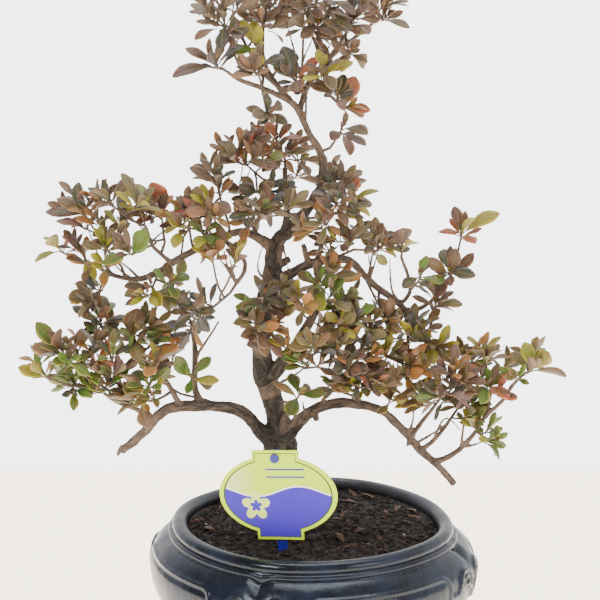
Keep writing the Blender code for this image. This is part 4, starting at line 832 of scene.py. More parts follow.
def blend_colours(tree, share, first, second, kind="MIX"):
    made = put(tree, "Mix", data_type="RGBA", blend_type=kind)
    for place, value in ((0, share), (6, first), (7, second)):
        if isinstance(value, bpy.types.NodeSocket):
            tree.links.new(value, made.inputs[place])
        elif place == 0:
            made.inputs[place].default_value = value
        else:
            made.inputs[place].default_value = (*value, 1)
    return made.outputs[2]


def tint(tree, colour, text, value, low, high, start=0.0, end=1.0):
    """A colour that turns towards another one as a value goes from low to high."""
    return blend_colours(tree, ramp(tree, value, low, high, start, end), colour, linear(text))


def grain(tree, place, scale, detail=4.0, roughness=0.6, distortion=0.0):
    """The strength of a noise pattern at a place."""
    made = put(tree, "TexNoise", {"Vector": place, "Scale": scale, "Detail": detail, "Roughness": roughness})
    made.inputs["Distortion"].default_value = distortion
    return made.outputs["Fac"]


def object_place(tree):
    return put(tree, "TexCoord").outputs["Object"]


def stored(tree, name, output="Fac"):
    """What a mesh keeps at its points under a name."""
    return put(tree, "Attribute", attribute_name=name).outputs[output]


def bump(tree, height, strength, distance_mm, before=None):
    values = {"Height": height, "Strength": strength, "Distance": distance_mm * MM}
    if before is not None:
        values["Normal"] = before
    return put(tree, "Bump", values).outputs[0]


def wire(tree, output, shader, name):
    tree.links.new(output, shader.inputs[name])


# The pot's raised work, in mm: from a corner along the belly's widest round, and up from the ground
SCROLL_MIDDLE_MM = (13.5, 50.5)
SCROLL_START, SCROLL_SWEEP = math.radians(-60), math.radians(560)
SCROLL_REACH_MM = 6.6
SCROLL_SHRINK_MM = 5.2
SCROLL_STRETCH = 1.25
SCROLL_POINTS = 150
# Each tail of a scroll: where it starts, how far it runs sideways and how far it bows up
TAILS_MM = [((10.5, 44.6), -10.5, 3.2), ((20, 53), 9, -4.5)]
TAIL_DROP_MM = 9
TAIL_POINTS = 70
PANEL_EDGE_MM = 33
PANEL_LOW_MM = 21
PANEL_HIGH_MM = 57.5
PANEL_BEND_MM = 8
FIELD_INSET_MM = 2.5
FIELD_SLOPE_MM = 3
FIELD_RISE_MM = 0.5
CUSP_LOW_MM, CUSP_GROWS_MM = 52, 12
CUSP_HIGH_MM, CUSP_FADES_MM = 71, 3
CUSP_SHARPNESS = 1.4
QUARTER = math.pi / 2


def arc(middle, radius, start, end, steps, flatten=1.0):
    """Points of an arc in the pot's profile, from the outside's level at 0 degrees up to 90."""
    points = []
    for i in range(steps + 1):
        turn = math.radians(start + (end - start) * i / steps)
        points.append((middle[0] + radius * math.cos(turn), middle[1] + radius * flatten * math.sin(turn)))
    return points


def spread_points(points, most):
    """The same outline with its long stretches split into steps of at most this length."""
    found = [points[0]]
    for start, end in zip(points, points[1:]):
        steps = max(1, math.ceil(math.dist(start, end) / most))
        for i in range(1, steps + 1):
            found.append(tuple(a + (b - a) * i / steps for a, b in zip(start, end)))
    return found


def pot_profile():
    """The pot's profile as reach and height in mm, and the number of the first point of each stretch."""
    inside = spread_points([(DRAIN_RADIUS_MM, INSIDE_MM[0][1])] + INSIDE_MM, 8)
    lip = arc(LIP_MIDDLE_MM, LIP_RADIUS_MM, 180, -25, 22)
    ridge = arc(RIDGE_MIDDLE_MM, RIDGE_RADIUS_MM, 50, -50, 8)
    belly = arc(BELLY_MIDDLE_MM, BELLY_REACH_MM, 55, 0, 30, BELLY_UP_MM / BELLY_REACH_MM)
    belly += arc(BELLY_MIDDLE_MM, BELLY_REACH_MM, -3, -90, 46, BELLY_DOWN_MM / BELLY_REACH_MM)
    foot = [(FOOT_OUTER_MM + 0.2, 1), (FOOT_OUTER_MM - 1, 0), (FOOT_INNER_MM + 1, 0), (FOOT_INNER_MM, 1)]
    foot = [(FOOT_OUTER_MM + 1, belly[-1][1] - 1.5)] + spread_points(foot, 1.5)
    underside = [(FOOT_INNER_MM - 2, UNDERSIDE_MM), (DRAIN_RADIUS_MM, UNDERSIDE_MM)]
    stretches = [inside, lip, ridge, belly, foot, underside]
    starts = np.cumsum([0] + [len(stretch) for stretch in stretches])
    return np.array(sum(stretches, [])), starts


def profile_normals(profile):
    """The outward direction at each point of the pot's profile."""
    along = np.roll(profile, -1, axis=0) - np.roll(profile, 1, axis=0)
    along /= np.linalg.norm(along, axis=1)[:, None] + 1e-9
    return np.stack([-along[:, 1], along[:, 0]], axis=1)


def scroll_lines():
    """The middle lines of a cloud scroll and its two tails, as points."""
    lines = []
    for i in range(SCROLL_POINTS):
        share = i / (SCROLL_POINTS - 1)
        turn = SCROLL_START + SCROLL_SWEEP * share
        reach = SCROLL_REACH_MM - SCROLL_SHRINK_MM * share
        lines.append((SCROLL_MIDDLE_MM[0] - reach * math.cos(turn) * SCROLL_STRETCH,
                      SCROLL_MIDDLE_MM[1] + reach * math.sin(turn)))
    for start, run, bow in TAILS_MM:
        for i in range(TAIL_POINTS):
            share = i / (TAIL_POINTS - 1)
            rise = bow * math.sin(math.pi * share) - TAIL_DROP_MM * share
            lines.append((start[0] + run * share, start[1] + rise))
    return lines


def frame_lines(half_span):
    """A rounded frame round the panel between two corners, as points."""
    bend_at = PANEL_EDGE_MM + PANEL_BEND_MM
    points = [(half_span, PANEL_HIGH_MM), (bend_at, PANEL_HIGH_MM)]
    points += arc((bend_at, PANEL_HIGH_MM - PANEL_BEND_MM), PANEL_BEND_MM, 90, 180, 8)
    points += arc((bend_at, PANEL_LOW_MM + PANEL_BEND_MM), PANEL_BEND_MM, 180, 270, 8)
    points.append((half_span, PANEL_LOW_MM))
    return spread_points(points, 0.5)


def ridge_along(across, height, points, rise, width):
    """How high a soft ridge along some points stands at each place."""
    reach = np.full(across.shape, 1e9)
    for x, z in points:
        reach = np.minimum(reach, (across - x) ** 2 + (height - z) ** 2)
    return rise * np.exp(-reach / width ** 2)


def raised_work(off_corner, height):
    """How far the glazed body stands out, in mm: worked out for an eighth of it, then repeated."""
    eighth = POT_SIDES // 8 + 1
    widest = BELLY_MIDDLE_MM[0] + BELLY_REACH_MM
    height = height[:, :eighth]
    across = np.repeat(off_corner[None, :eighth] * widest, len(height), axis=0)
    raised = ridge_along(across, height, scroll_lines(), SCROLL_HEIGHT_MM, SCROLL_WIDTH_MM)
    border = ridge_along(across, height, frame_lines(QUARTER / 2 * widest), BEAD_HEIGHT_MM, BEAD_WIDTH_MM)
    field = 1
    for inset in (across - PANEL_EDGE_MM, height - PANEL_LOW_MM, PANEL_HIGH_MM - height):
        field = field * np.clip((inset - FIELD_INSET_MM) / FIELD_SLOPE_MM, 0, 1)
    raised = np.maximum(np.maximum(raised, border), FIELD_RISE_MM * field)
    order = np.minimum(np.arange(POT_SIDES) % (POT_SIDES // 4), -np.arange(POT_SIDES) % (POT_SIDES // 4))
    return raised[:, order]


def corner_share(turn):
    """1 at the pot's four corners, falling to 0 along its flatter sides."""
    return (0.5 + 0.5 * np.cos(4 * (turn - CORNER_TURN))) ** 2


def drop_cusps(height, across, outside):
    """Draws the lip and ridge down in a point at each corner."""
    near = np.clip(1 - across / CUSP_WIDTH_MM, 0, 1) ** CUSP_SHARPNESS
    band = np.clip((height - CUSP_LOW_MM) / CUSP_GROWS_MM, 0, 1)
    band = band * np.clip((CUSP_HIGH_MM - height) / CUSP_FADES_MM, 0, 1)
    band[:outside] = 0
    return height - CUSP_DROP_MM * near * band


def make_pot():
    """The pot: its profile turned round the axis, with soft corners, cusps, raised work and arches."""
    profile, starts = pot_profile()
    turns = CORNER_TURN + 2 * math.pi * np.arange(POT_SIDES) / POT_SIDES
    off_corner = np.abs((turns - CORNER_TURN + QUARTER / 2) % QUARTER - QUARTER / 2)
    bulge = np.zeros((len(profile), 1))
    bulge[2:starts[4]] = CORNER_BULGE
    radius = profile[:, :1] * (1 + bulge * (corner_share(turns)[None, :] - 0.5))
    height = np.repeat(profile[:, 1:], POT_SIDES, axis=1)
    raised = np.zeros_like(radius)
    raised[starts[3]:starts[4]] = raised_work(off_corner, height[starts[3]:starts[4]])
    normals = profile_normals(profile)
    height = drop_cusps(height, off_corner[None, :] * radius, starts[2])
    height = height + normals[:, 1:] * raised
    radius = radius + normals[:, :1] * raised
    ring = slice(starts[4] + 1, starts[5])
    from_arch = ((turns - CORNER_TURN) % QUARTER - QUARTER / 2)[None, :] * radius[ring]
    arch = np.sqrt(np.maximum(0, ARCH_RADIUS_MM ** 2 - from_arch ** 2)) + ARCH_CENTRE_MM
    height[ring] = np.maximum(height[ring], arch)
    corners = np.stack([radius * np.sin(turns), -radius * np.cos(turns), height], axis=2).reshape(-1, 3) * MM
    faces = []
    for row in range(len(profile)):
        below, above = row * POT_SIDES, (row + 1) % len(profile) * POT_SIDES
        for i in range(POT_SIDES):
            j = (i + 1) % POT_SIDES
            faces.append((below + i, below + j, above + j, above + i))
    pot = link_mesh("glazed_pot", corners + np.array(PLANT_CENTRE), faces, [glaze_material()])
    set_attribute(pot.data, "raised", "FLOAT", raised / SCROLL_HEIGHT_MM)
    return settle(pot, "navy_glaze", "pot")


def glaze_material():
    """Blue-black glaze that breaks to grey-brown where it runs thin, and turns a paler, rougher grey inside
    the lip near its top.
    """
    # The bluish specular tint is a painted reflection colour: it stands in for blue sky light mirrored in the
    # glaze.
    material, tree, shader = new_material("navy_glaze", 0.2, Coat_Weight=0.06, Coat_Roughness=0.08, IOR=1.5,
                                          Specular_IOR_Level=0.38, Specular_Tint=(0.80, 0.90, 1.0, 1.0))
    place = object_place(tree)
    cloud = grain(tree, place, 28, 5, 0.62, 0.6)
    speck = grain(tree, place, 620, 3)
    colour = tint(tree, linear("090a10"), "131a2e", cloud, 0.35, 0.68)
    colour = tint(tree, colour, "1b1818", grain(tree, place, 55, 4, 0.6, 0.4), 0.52, 0.70, 0, 0.5)
    colour = tint(tree, colour, "34363e", stored(tree, "raised"), 0.55, 1.1, 0, 0.4)
    colour = tint(tree, colour, "3a2e2a", speck, 0.66, 0.78, 0, 0.35)
    middle = put(tree, "VectorMath", {0: place, 1: PLANT_CENTRE}, operation="SUBTRACT").outputs[0]
    flat = put(tree, "VectorMath", {0: middle, 1: (1, 1, 0)}, operation="MULTIPLY").outputs[0]
    reach = put(tree, "VectorMath", {0: flat}, operation="LENGTH").outputs["Value"]
    height = put(tree, "SeparateXYZ", {0: middle}).outputs["Z"]
    # Inside the lip near its top, in patches, the glaze turns a paler, rougher grey.
    lip_out, lip_top = (LIP_MIDDLE_MM[0] + 3) * MM, (LIP_MIDDLE_MM[1] + LIP_RADIUS_MM) * MM
    inside = ramp(tree, reach, lip_out - 6 * MM, lip_out, 1, 0)
    grey_dulling = sums(tree, "MULTIPLY", inside, ramp(tree, height, lip_top - 12 * MM, lip_top - 4 * MM))
    grey_dulling = sums(tree, "MULTIPLY", grey_dulling, ramp(tree, cloud, 0.2, 0.6, 0.5, 0.9))
    wire(tree, blend_colours(tree, grey_dulling, colour, linear("47474a")), shader, "Base Color")
    polish = ramp(tree, cloud, 0.3, 0.75, 0.20, 0.42)
    wire(tree, sums(tree, "MULTIPLY_ADD", grey_dulling, 0.2, polish), shader, "Roughness")
    waves = bump(tree, grain(tree, place, 45, 3), 0.35, 1.6)
    skin = bump(tree, grain(tree, place, 90, 3), 0.3, 0.8, waves)
    wire(tree, bump(tree, speck, 0.12, 0.25, skin), shader, "Normal")
    return material


# The soil and its litter.  Each kind of litter has a roughness and one or more lots of lumps: how many, their
# lengths in mm, their widths as a share of that, their colours, and how finely each is divided.
CHIP_COLOURS = ["4a2c1e", "58382a", "3a251a", "684838", "302018", "755a44"]
CRUMB_COLOURS = ["120c08", "1e140e", "2c1d14", "3a271a", "1a110b"]
GRIT_COLOURS = ["cfc8ba", "e2ddd2", "b5ab9b"]
LITTER = {
    "bark_chips": (0.85, [(70, (3.0, 7.0), (0.30, 0.6), CHIP_COLOURS, 2),
                          (50, (6, 14), (0.14, 0.26), CHIP_COLOURS, 2)]),
    "peat_crumbs": (0.95, [(2300, (1.2, 4.2), (0.4, 0.9), CRUMB_COLOURS, 1)]),
    "white_grit": (0.6, [(9, (1.0, 2.0), (0.6, 0.9), GRIT_COLOURS, 1)]),
}
LITTER_INSET_MM = 2.5
LUMP_GRAIN, LUMP_RISE_MM = 0.055, 1.5
CRUMB_GRAIN, CRUMB_RISE_MM = 0.32, 0.75
LUMP_FLATNESS = (0.35, 0.8)
LUMP_SHADES = (0.7, 1.25)
LUMP_JAG = 0.22
LUMP_ROLL, LUMP_PITCH, LUMP_LIFT = 0.35, 0.3, 0.3
TRUNK_FOOT = (281, 531, 14)
FOOT_CLEAR_MM = 14


def round_pot(reach, turn):
    """The x and y of a place at a reach from the pot's axis and a turn from its front."""
    return reach * math.sin(turn), -reach * math.cos(turn)


def soil_height(x, y):
    """The height of the peat at a place in mm from the pot's axis: a low crown with lumps and crumbs."""
    share = math.hypot(x, y) / SOIL_REACH_MM
    height = SOIL_CROWN_MM - (SOIL_CROWN_MM - SOIL_RIM_MM) * share ** 2
    lumps = noise.fractal((x * LUMP_GRAIN, y * LUMP_GRAIN, 3.1), 0.9, 2.0, 3) * LUMP_RISE_MM
    crumbs = noise.fractal((x * CRUMB_GRAIN, y * CRUMB_GRAIN, 9.7), 0.8, 2.2, 3) * CRUMB_RISE_MM
    return height + (lumps + crumbs) * min(1, 6 * (1.03 - share))


def make_soil():
    """The peat: rings up the pot's inner wall, then rings that close in over its lumpy top."""
    side = [(radius - SOIL_GAP_MM, height) for radius, height in INSIDE_MM]
    side[0] = (side[0][0], side[0][1] + SOIL_GAP_MM)
    turns = [CORNER_TURN + 2 * math.pi * i / SOIL_SPOKES for i in range(SOIL_SPOKES)]
    bulges = [1 + CORNER_BULGE * (corner_share(turn) - 0.5) for turn in turns]
    rings = []
    for radius, height in side:
        rings.append([(*round_pot(radius * bulge, turn), height) for turn, bulge in zip(turns, bulges)])
    for i in range(SOIL_RINGS):
        radius = SOIL_REACH_MM * (1 - i / SOIL_RINGS) ** 0.8
        places = [round_pot(radius * bulge, turn) for turn, bulge in zip(turns, bulges)]
        rings.append([(x, y, soil_height(x, y)) for x, y in places])
    rings.append([(0, 0, soil_height(0, 0))])
    corners, faces = loft(rings)
    soil = link_mesh("peat_bed", np.array(corners) * MM + np.array(PLANT_CENTRE), faces, [peat_material()])
    return settle(soil, "peat", "soil")


def peat_material():
    """Dark fibrous peat."""
    material, tree, shader = new_material("peat", 0.95)
    place = object_place(tree)
    lumps = grain(tree, place, 130, 6, 0.7, 0.4)
    fibres = grain(tree, place, 700, 4, 0.7)
    colour = tint(tree, linear("0a0705"), "281b13", lumps, 0.36, 0.66)
    wire(tree, tint(tree, colour, "57392a", fibres, 0.62, 0.80, 0, 0.6), shader, "Base Color")
    wire(tree, ramp(tree, lumps, 0.3, 0.7, 1.0, 0.8), shader, "Roughness")
    wire(tree, bump(tree, fibres, 0.7, 0.7, bump(tree, lumps, 0.8, 1.2)), shader, "Normal")
    return material


def scatter(draws, outer):
    """A random place on the peat in mm from the pot's axis, clear of the trunk's foot."""
    foot = seen(*TRUNK_FOOT) / MM
    while True:
        turn = draws.uniform(0, 2 * math.pi)
        x, y = round_pot(math.sqrt(draws.uniform(0, outer ** 2)), turn)
        if math.hypot(x - foot.x, y - foot.y) > FOOT_CLEAR_MM:
            return x, y


def ball_shape(detail):
    """The points and faces of a plain ball 2 across, divided this finely."""
    ball = bmesh.new()
    bmesh.ops.create_icosphere(ball, subdivisions=detail, radius=1)
    points = [vert.co.copy() for vert in ball.verts]
    faces = [tuple(vert.index for vert in face.verts) for face in ball.faces]
    ball.free()
    return points, faces


def draw_lump(draws, shape, sizes, flatness, colours):
    """The points of an angular lump lying on the peat, in mm, and its colour."""
    x, y = scatter(draws, SOIL_REACH_MM - LITTER_INSET_MM)
    length = draws.uniform(*sizes)
    width = length * draws.uniform(*flatness)
    height = width * draws.uniform(*LUMP_FLATNESS)
    spin = Matrix.Rotation(draws.uniform(0, 2 * math.pi), 3, "Z")
    roll = Matrix.Rotation(draws.gauss(0, LUMP_ROLL), 3, "X")
    tilt = roll @ Matrix.Rotation(draws.gauss(0, LUMP_PITCH), 3, "Y")
    base = Vector((x, y, soil_height(x, y) + height * LUMP_LIFT))
    colour = linear(draws.choice(colours))
    shade = draws.uniform(*LUMP_SHADES)
    points = []
    for point in shape:
        jag = 1 + draws.uniform(-LUMP_JAG, LUMP_JAG)
        place = Vector((point.x * length, point.y * width, point.z * height)) * 0.5 * jag
        points.append(base + spin @ tilt @ place)
    return points, [channel * shade for channel in colour]


def make_litter():
    """Bark chips, peat crumbs and a little white grit on top of the peat."""
    draws = random.Random("litter")
    for name, (roughness, lots) in LITTER.items():
        corners, faces, tones = [], [], []
        for count, sizes, flatness, colours, detail in lots:
            shape, sides = ball_shape(detail)
            for _ in range(count):
                points, colour = draw_lump(draws, shape, sizes, flatness, colours)
                faces += counted_from(len(corners), sides)
                corners += points
                tones += [colour] * len(points)
        placed = np.array([tuple(corner) for corner in corners]) * MM + np.array(PLANT_CENTRE)
        litter = link_mesh(name, placed, faces, [litter_material(name, roughness)], smooth=False)
        set_tones(litter.data, tones)
        settle(litter, "peat")


def litter_material(name, roughness):
    """Dry fibrous matter in the colour kept at each point."""
    material, tree, shader = new_material(name, roughness)
    tone = stored(tree, "tone", "Color")
    fibres = grain(tree, object_place(tree), 900, 4, 0.7)
    dark = blend_colours(tree, 1.0, tone, (0.35, 0.33, 0.32), "MULTIPLY")
    wire(tree, blend_colours(tree, ramp(tree, fibres, 0.35, 0.62), dark, tone), shader, "Base Color")
    wire(tree, bump(tree, fibres, 0.6, 0.4), shader, "Normal")
    return material


# The finer wood: pruned stubs and thin bare twigs, as across, down, depth in mm, radius in mm
STUBS = [
    [(309, 264, -8, 2.6), (306, 255, -9, 2.0), (304, 247, -10, 1.8), (303, 244, -10, 1.6)],
    [(318, 262, -8, 2.5), (319, 254, -11, 1.9), (321, 247, -13, 1.7), (322, 243, -14, 1.5)],
    [(327, 261, -7, 2.5), (330, 254, -5, 1.9), (332, 249, -4, 1.7), (333, 246, -4, 1.5)],
    [(313, 412, 3, 3.2), (316, 417, 0, 2.4), (317, 421, -1, 2.1)],
    [(124, 447, -8, 2.6), (119, 452, -8, 1.6), (118, 456, -8, 0.9)],
    [(268, 350, 4, 3.6), (254, 346, 0, 2.4), (248, 343, -2, 2.1)],
    [(274, 268, 0, 3.8), (284, 262, 6, 2.6), (289, 259, 9, 2.2)],
    [(322, 180, 5, 2.4), (331, 174, 2, 1.8), (334, 171, 1, 1.6)],
    [(410, 437, -10, 2.0), (408, 443, -10, 1.3), (407, 447, -10, 0.9)],
]
BARE_TWIGS = [
    [(305, 118, -1, 1.3), (306, 110, -4, 1.0), (306, 102, -6, 0.9), (307, 95, -7, 0.7)],
    [(195, 362, 0, 1.4), (199, 352, -2, 1.2), (205, 343, -4, 1.0), (213, 331, -6, 0.9), (219, 321, -8, 0.8)],
    [(149, 238, -26, 1.1), (140, 226, -30, 0.8), (130, 217, -32, 0.7), (122, 210, -32, 0.6)],
    [(149, 237, -26, 1.1), (144, 222, -32, 0.8), (139, 207, -36, 0.6)],
    [(151, 243, -25, 1.1), (160, 234, -24, 0.8), (172, 226, -24, 0.7), (180, 216, -24, 0.6)],
    [(130, 278, -13, 1.2), (118, 268, -14, 0.8), (108, 256, -16, 0.7), (104, 244, -18, 0.6)],
    [(112, 274, -9, 1.2), (100, 258, -12, 0.8), (92, 240, -14, 0.7), (86, 222, -15, 0.6)],
    [(140, 279, -15, 1.2), (126, 266, -22, 0.8), (112, 256, -28, 0.7), (106, 246, -32, 0.6)],
    [(266, 390, 8, 1.4), (280, 383, 4, 1.1), (296, 374, 0, 0.9), (312, 362, -4, 0.7)],
    [(309, 414, 4, 1.3), (304, 409, 1, 1.0), (303, 402, -2, 0.7)],
    [(286, 432, 12, 1.4), (290, 424, 8, 1.0), (295, 415, 4, 0.9), (297, 408, 2, 0.7)],
    [(399, 302, 5, 1.2), (392, 290, 0, 0.9), (390, 270, -6, 0.8), (390, 257, -8, 0.6)],
    [(431, 303, 10, 1.1), (434, 310, 6, 0.9), (431, 320, 4, 0.8), (429, 328, 2, 0.6)],
    [(415, 444, -9, 1.4), (420, 441, -8, 1.1), (432, 434, -6, 0.9), (445, 425, -4, 0.8), (452, 418, -4, 0.6)],
    [(433, 441, -3, 1.1), (443, 420, -6, 0.8), (452, 421, -8, 0.7), (461, 432, -9, 0.6)],
    [(462, 447, -12, 1.2), (473, 445, -14, 0.9), (484, 441, -15, 0.6)],
    [(461, 447, -12, 1.2), (463, 430, -16, 0.9), (465, 415, -18, 0.8), (466, 400, -19, 0.6)],
    [(215, 240, -13, 1.2), (208, 228, -16, 0.9), (205, 214, -18, 0.8), (199, 203, -18, 0.6)],
    [(262, 240, -3, 1.4), (250, 222, 2, 1.0), (246, 206, 4, 0.8), (238, 192, 6, 0.6)],
    [(358, 401, -8, 1.4), (363, 391, -12, 1.0), (372, 382, -14, 0.8), (376, 373, -15, 0.6)],
    [(272, 79, 0, 1.2), (280, 62, -6, 0.9), (284, 48, -8, 0.7)],
    [(323, 66, 10, 1.2), (318, 50, 6, 0.9), (316, 36, 4, 0.7)],
    [(303, 96, 3, 1.2), (299, 72, -2, 0.9), (293, 46, -4, 0.8), (286, 22, -6, 0.7), (283, 8, -6, 0.6)],
    [(300, 76, -1, 0.9), (304, 58, -4, 0.8), (311, 42, -6, 0.7), (313, 30, -6, 0.6)],
    [(318, 70, 8, 1.1), (324, 56, 4, 0.8), (331, 43, 2, 0.7), (336, 34, 0, 0.6)],
    [(262, 62, 3, 1.0), (263, 48, 0, 0.8), (264, 34, -2, 0.6)],
    [(283, 92, -3, 1.7), (268, 76, -6, 1.3), (254, 58, -8, 1.1), (240, 36, -8, 0.9), (232, 26, -8, 0.7)],
    [(281, 89, -2, 1.7), (262, 72, 4, 1.3), (250, 52, 8, 1.1), (243, 38, 8, 0.9), (240, 24, 8, 0.7)],
    [(304, 94, 4, 1.6), (314, 78, 0, 1.2), (326, 60, -2, 1.0), (340, 42, -4, 0.9), (348, 28, -4, 0.7)],
    [(238, 192, 6, 0.8), (241, 177, 2, 0.7), (243, 163, 0, 0.6)],
    [(238, 192, 6, 0.8), (246, 180, 2, 0.7), (251, 166, 0, 0.6)],
    [(238, 192, 6, 0.8), (231, 182, 2, 0.7), (226, 171, -2, 0.6)],
    [(236, 283, -33, 1.1), (222, 262, -36, 0.7), (207, 246, -38, 0.6)],
    [(236, 283, -33, 1.1), (227, 264, -36, 0.7), (223, 246, -38, 0.6)],
    [(236, 283, -33, 1.1), (231, 264, -38, 0.7), (228, 250, -40, 0.6)],
    [(282, 240, 1, 1.3), (285, 254, -4, 0.8), (288, 270, -6, 0.6)],
    [(268, 283, -2, 1.3), (258, 270, -6, 0.8), (260, 254, -6, 0.7), (265, 243, -4, 0.6)],
    [(349, 261, -4, 1.3), (360, 274, -8, 0.8), (369, 283, -9, 0.8), (373, 294, -8, 0.7), (385, 300, -4, 0.8),
     (397, 302, 4, 1.0)],
    [(369, 280, 1, 1.2), (370, 268, -4, 0.8), (368, 254, -6, 0.6)],
    [(369, 280, 1, 1.2), (374, 266, -6, 0.8), (378, 251, -8, 0.6)],
    [(322, 402, 0, 1.2), (327, 390, -6, 0.8), (332, 378, -10, 0.6)],
    [(409, 434, -10, 1.2), (413, 419, -14, 0.8), (413, 408, -16, 0.6)],
]

# The surface roots' turns from the front in degrees and their reach, then the skin over all the wood
ROOT_TURNS = (8, 62, 118, 171, 236, 305)
ROOT_REACH_MM = (27, 44)
ROOT_TURN_STRAY, ROOT_BEND = 9, 0.4
# Along a surface root: share of its reach, mm over the peat, radius in mm
ROOT_STATIONS = [(0.0, 17, 7.5), (0.22, 6.5, 6.2), (0.45, 1.6, 4.6), (0.72, -0.4, 3.2), (1.0, -5, 1.8)]
SKIN_STEP = 1.6 * MM
SKIN_SIDES = 18
VOXEL = 0.78 * MM
FOOT_SWELL = 0.22
TRUNK_FADE, LIMB_FADE = 12, 16
BARK_ALONG = 0.30
OLD_RADIUS = 7 * MM
KNOT_SWELL, SLOW_SWELL = 0.07, 0.12
# The bark's relief in mm on old wood, and what of it stays on the thinnest twig
RIDGE_DEPTH, LUMP_DEPTH, FINE_DEPTH, FINE_LEAST = 0.55, 0.9, 0.28, 0.10
MOVE_KEPT = 0.6


def surface_roots():
    """Roots that spread from the trunk's foot and dip into the peat, as place and radius along each."""
    draws = random.Random("roots")
    foot = seen(*TRUNK_FOOT)
    found = []
    for degrees in ROOT_TURNS:
        turn = math.radians(degrees + draws.uniform(-ROOT_TURN_STRAY, ROOT_TURN_STRAY))
        reach = draws.uniform(*ROOT_REACH_MM)
        bend = draws.uniform(-ROOT_BEND, ROOT_BEND)
        points = []
        for share, over, radius in ROOT_STATIONS:
            x, y = round_pot(reach * share, turn + bend * share)
            x, y = foot.x / MM + x, foot.y / MM + y
            points.append(Vector((x * MM, y * MM, (soil_height(x, y) + over) * MM, radius * MM)))
        found.append(smooth_route(points, SKIN_STEP))
    return found


def skin_routes():
    """Every limb, stub, bare twig and root as a fine route; the limbs swell at their feet."""
    found = []
    for name, points in LIMBS.items():
        route = limb_route(points, SKIN_STEP)
        fade = TRUNK_FADE if name == "trunk" else LIMB_FADE
        for i, point in enumerate(route):
            point.w *= 1 + FOOT_SWELL * math.exp(-i / len(route) * fade)
        found.append(route)
    return found + [limb_route(points, SKIN_STEP) for points in STUBS + BARE_TWIGS] + surface_roots()


def lumpy(route, draws):
    """The route with knots and slow swellings in its radius."""
    phase, knot = draws.uniform(0, 9), draws.uniform(0.6, 1.0)
    for i, point in enumerate(route):
        swell = noise.noise((i * 0.21, phase, 0.5)) * SLOW_SWELL
        swell += noise.noise((i * 0.55, phase, 7.5)) * KNOT_SWELL * knot
        point.w *= 1 + swell
    return route


def skin_over(routes, sides):
    """One list of points and one of faces for tubes along all the routes."""
    corners, faces = [], []
    for route in routes:
        points, skin = tube(route, sides)
        faces += counted_from(len(corners), skin)
        corners += points
    return corners, faces


def make_wood():
    """All the wood grown into one skin, then cut with fissures that run along each limb."""
    draws = random.Random("bark")
    routes = [lumpy(route, draws) for route in skin_routes()]
    wood = link_mesh("bark_wood", *skin_over(routes, SKIN_SIDES), [])
    fuse = wood.modifiers.new("fuse", "REMESH")
    fuse.mode = "VOXEL"
    fuse.voxel_size = VOXEL
    ease = wood.modifiers.new("ease", "SMOOTH")
    ease.factor = 0.5
    ease.iterations = 2
    depsgraph = bpy.context.evaluated_depsgraph_get()
    mesh = bpy.data.meshes.new_from_object(wood.evaluated_get(depsgraph))
    rough = wood.data
    wood.modifiers.clear()
    wood.data = mesh
    bpy.data.meshes.remove(rough)
    mesh.name = "bark_wood"
    carve_bark(mesh, routes)
    mesh.transform(Matrix.Translation(PLANT_CENTRE))
    mesh.materials.append(bark_material())
    mesh.shade_smooth()
    return settle(wood, "bark", "tree_wood")


def grain_knots(routes):
    """Places along every route with their radius, directions and way along the grain, and a search tree."""
    knots = []
    for number, route in enumerate(routes):
        across = TUBE_SIDE
        for i, (point, along) in enumerate(zip(route, directions(route))):
            across = square_to(across, along)
            knots.append((point, along, across.copy(), along.cross(across), i * SKIN_STEP + number * 0.37))
    tree = KDTree(len(knots))
    for index, knot in enumerate(knots):
        tree.insert(knot[0].to_3d(), index)
    tree.balance()
    return knots, tree


def bark_move(place, lump_place, size):
    """How far the bark stands out, in mm, at a place in its grain on wood of this relative thickness."""
    ridge = 1 - abs(noise.noise(place * 0.42)) * 2.6
    fine = noise.fractal(place * 1.3, 0.8, 2.1, 3)
    lump = noise.noise(lump_place)
    carved = RIDGE_DEPTH * max(-0.7, ridge - 0.55) + FINE_DEPTH * fine + LUMP_DEPTH * lump
    return carved * size + FINE_LEAST * fine


def with_neighbours(mesh, moves):
    """Moves evened out a little with those of the points beside."""
    ends = np.empty(len(mesh.edges) * 2, np.int32)
    mesh.edges.foreach_get("vertices", ends)
    first, second = ends[::2], ends[1::2]
    share = np.bincount(ends, minlength=len(moves))
    near = np.bincount(first, moves[second], len(moves)) + np.bincount(second, moves[first], len(moves))
    return MOVE_KEPT * moves + (1 - MOVE_KEPT) * near / np.maximum(1, share)


def carve_bark(mesh, routes):
    """Moves the skin in and out along its grain, and keeps what the colours need at each point."""
    knots, tree = grain_knots(routes)
    places, moves, ages = [], [], []
    for vert in mesh.vertices:
        centre, along, across, other, travelled = knots[tree.find(vert.co)[1]]
        off = vert.co - centre.to_3d()
        z = (travelled + off.dot(along)) * BARK_ALONG
        place = Vector((off.dot(across), off.dot(other), z)) / MM
        size = min(1, centre.w / OLD_RADIUS)
        places.append(place)
        ages.append(size)
        moves.append(bark_move(place, off / MM * 0.11 + Vector((0, 0, travelled * 90)), size))
    moves = with_neighbours(mesh, np.array(moves) * MM)
    flat = np.empty(len(mesh.vertices) * 3, np.float32)
    mesh.vertices.foreach_get("co", flat)
    normals = np.empty(len(mesh.vertices) * 3, np.float32)
    mesh.vertices.foreach_get("normal", normals)
    flat += (normals.reshape(-1, 3) * moves[:, None]).ravel().astype(np.float32)
    mesh.vertices.foreach_set("co", flat)
    set_attribute(mesh, "grain", "FLOAT_VECTOR", [tuple(place * MM) for place in places])
    set_attribute(mesh, "relief", "FLOAT", moves / MM)
    set_attribute(mesh, "age", "FLOAT", ages)
    mesh.update()


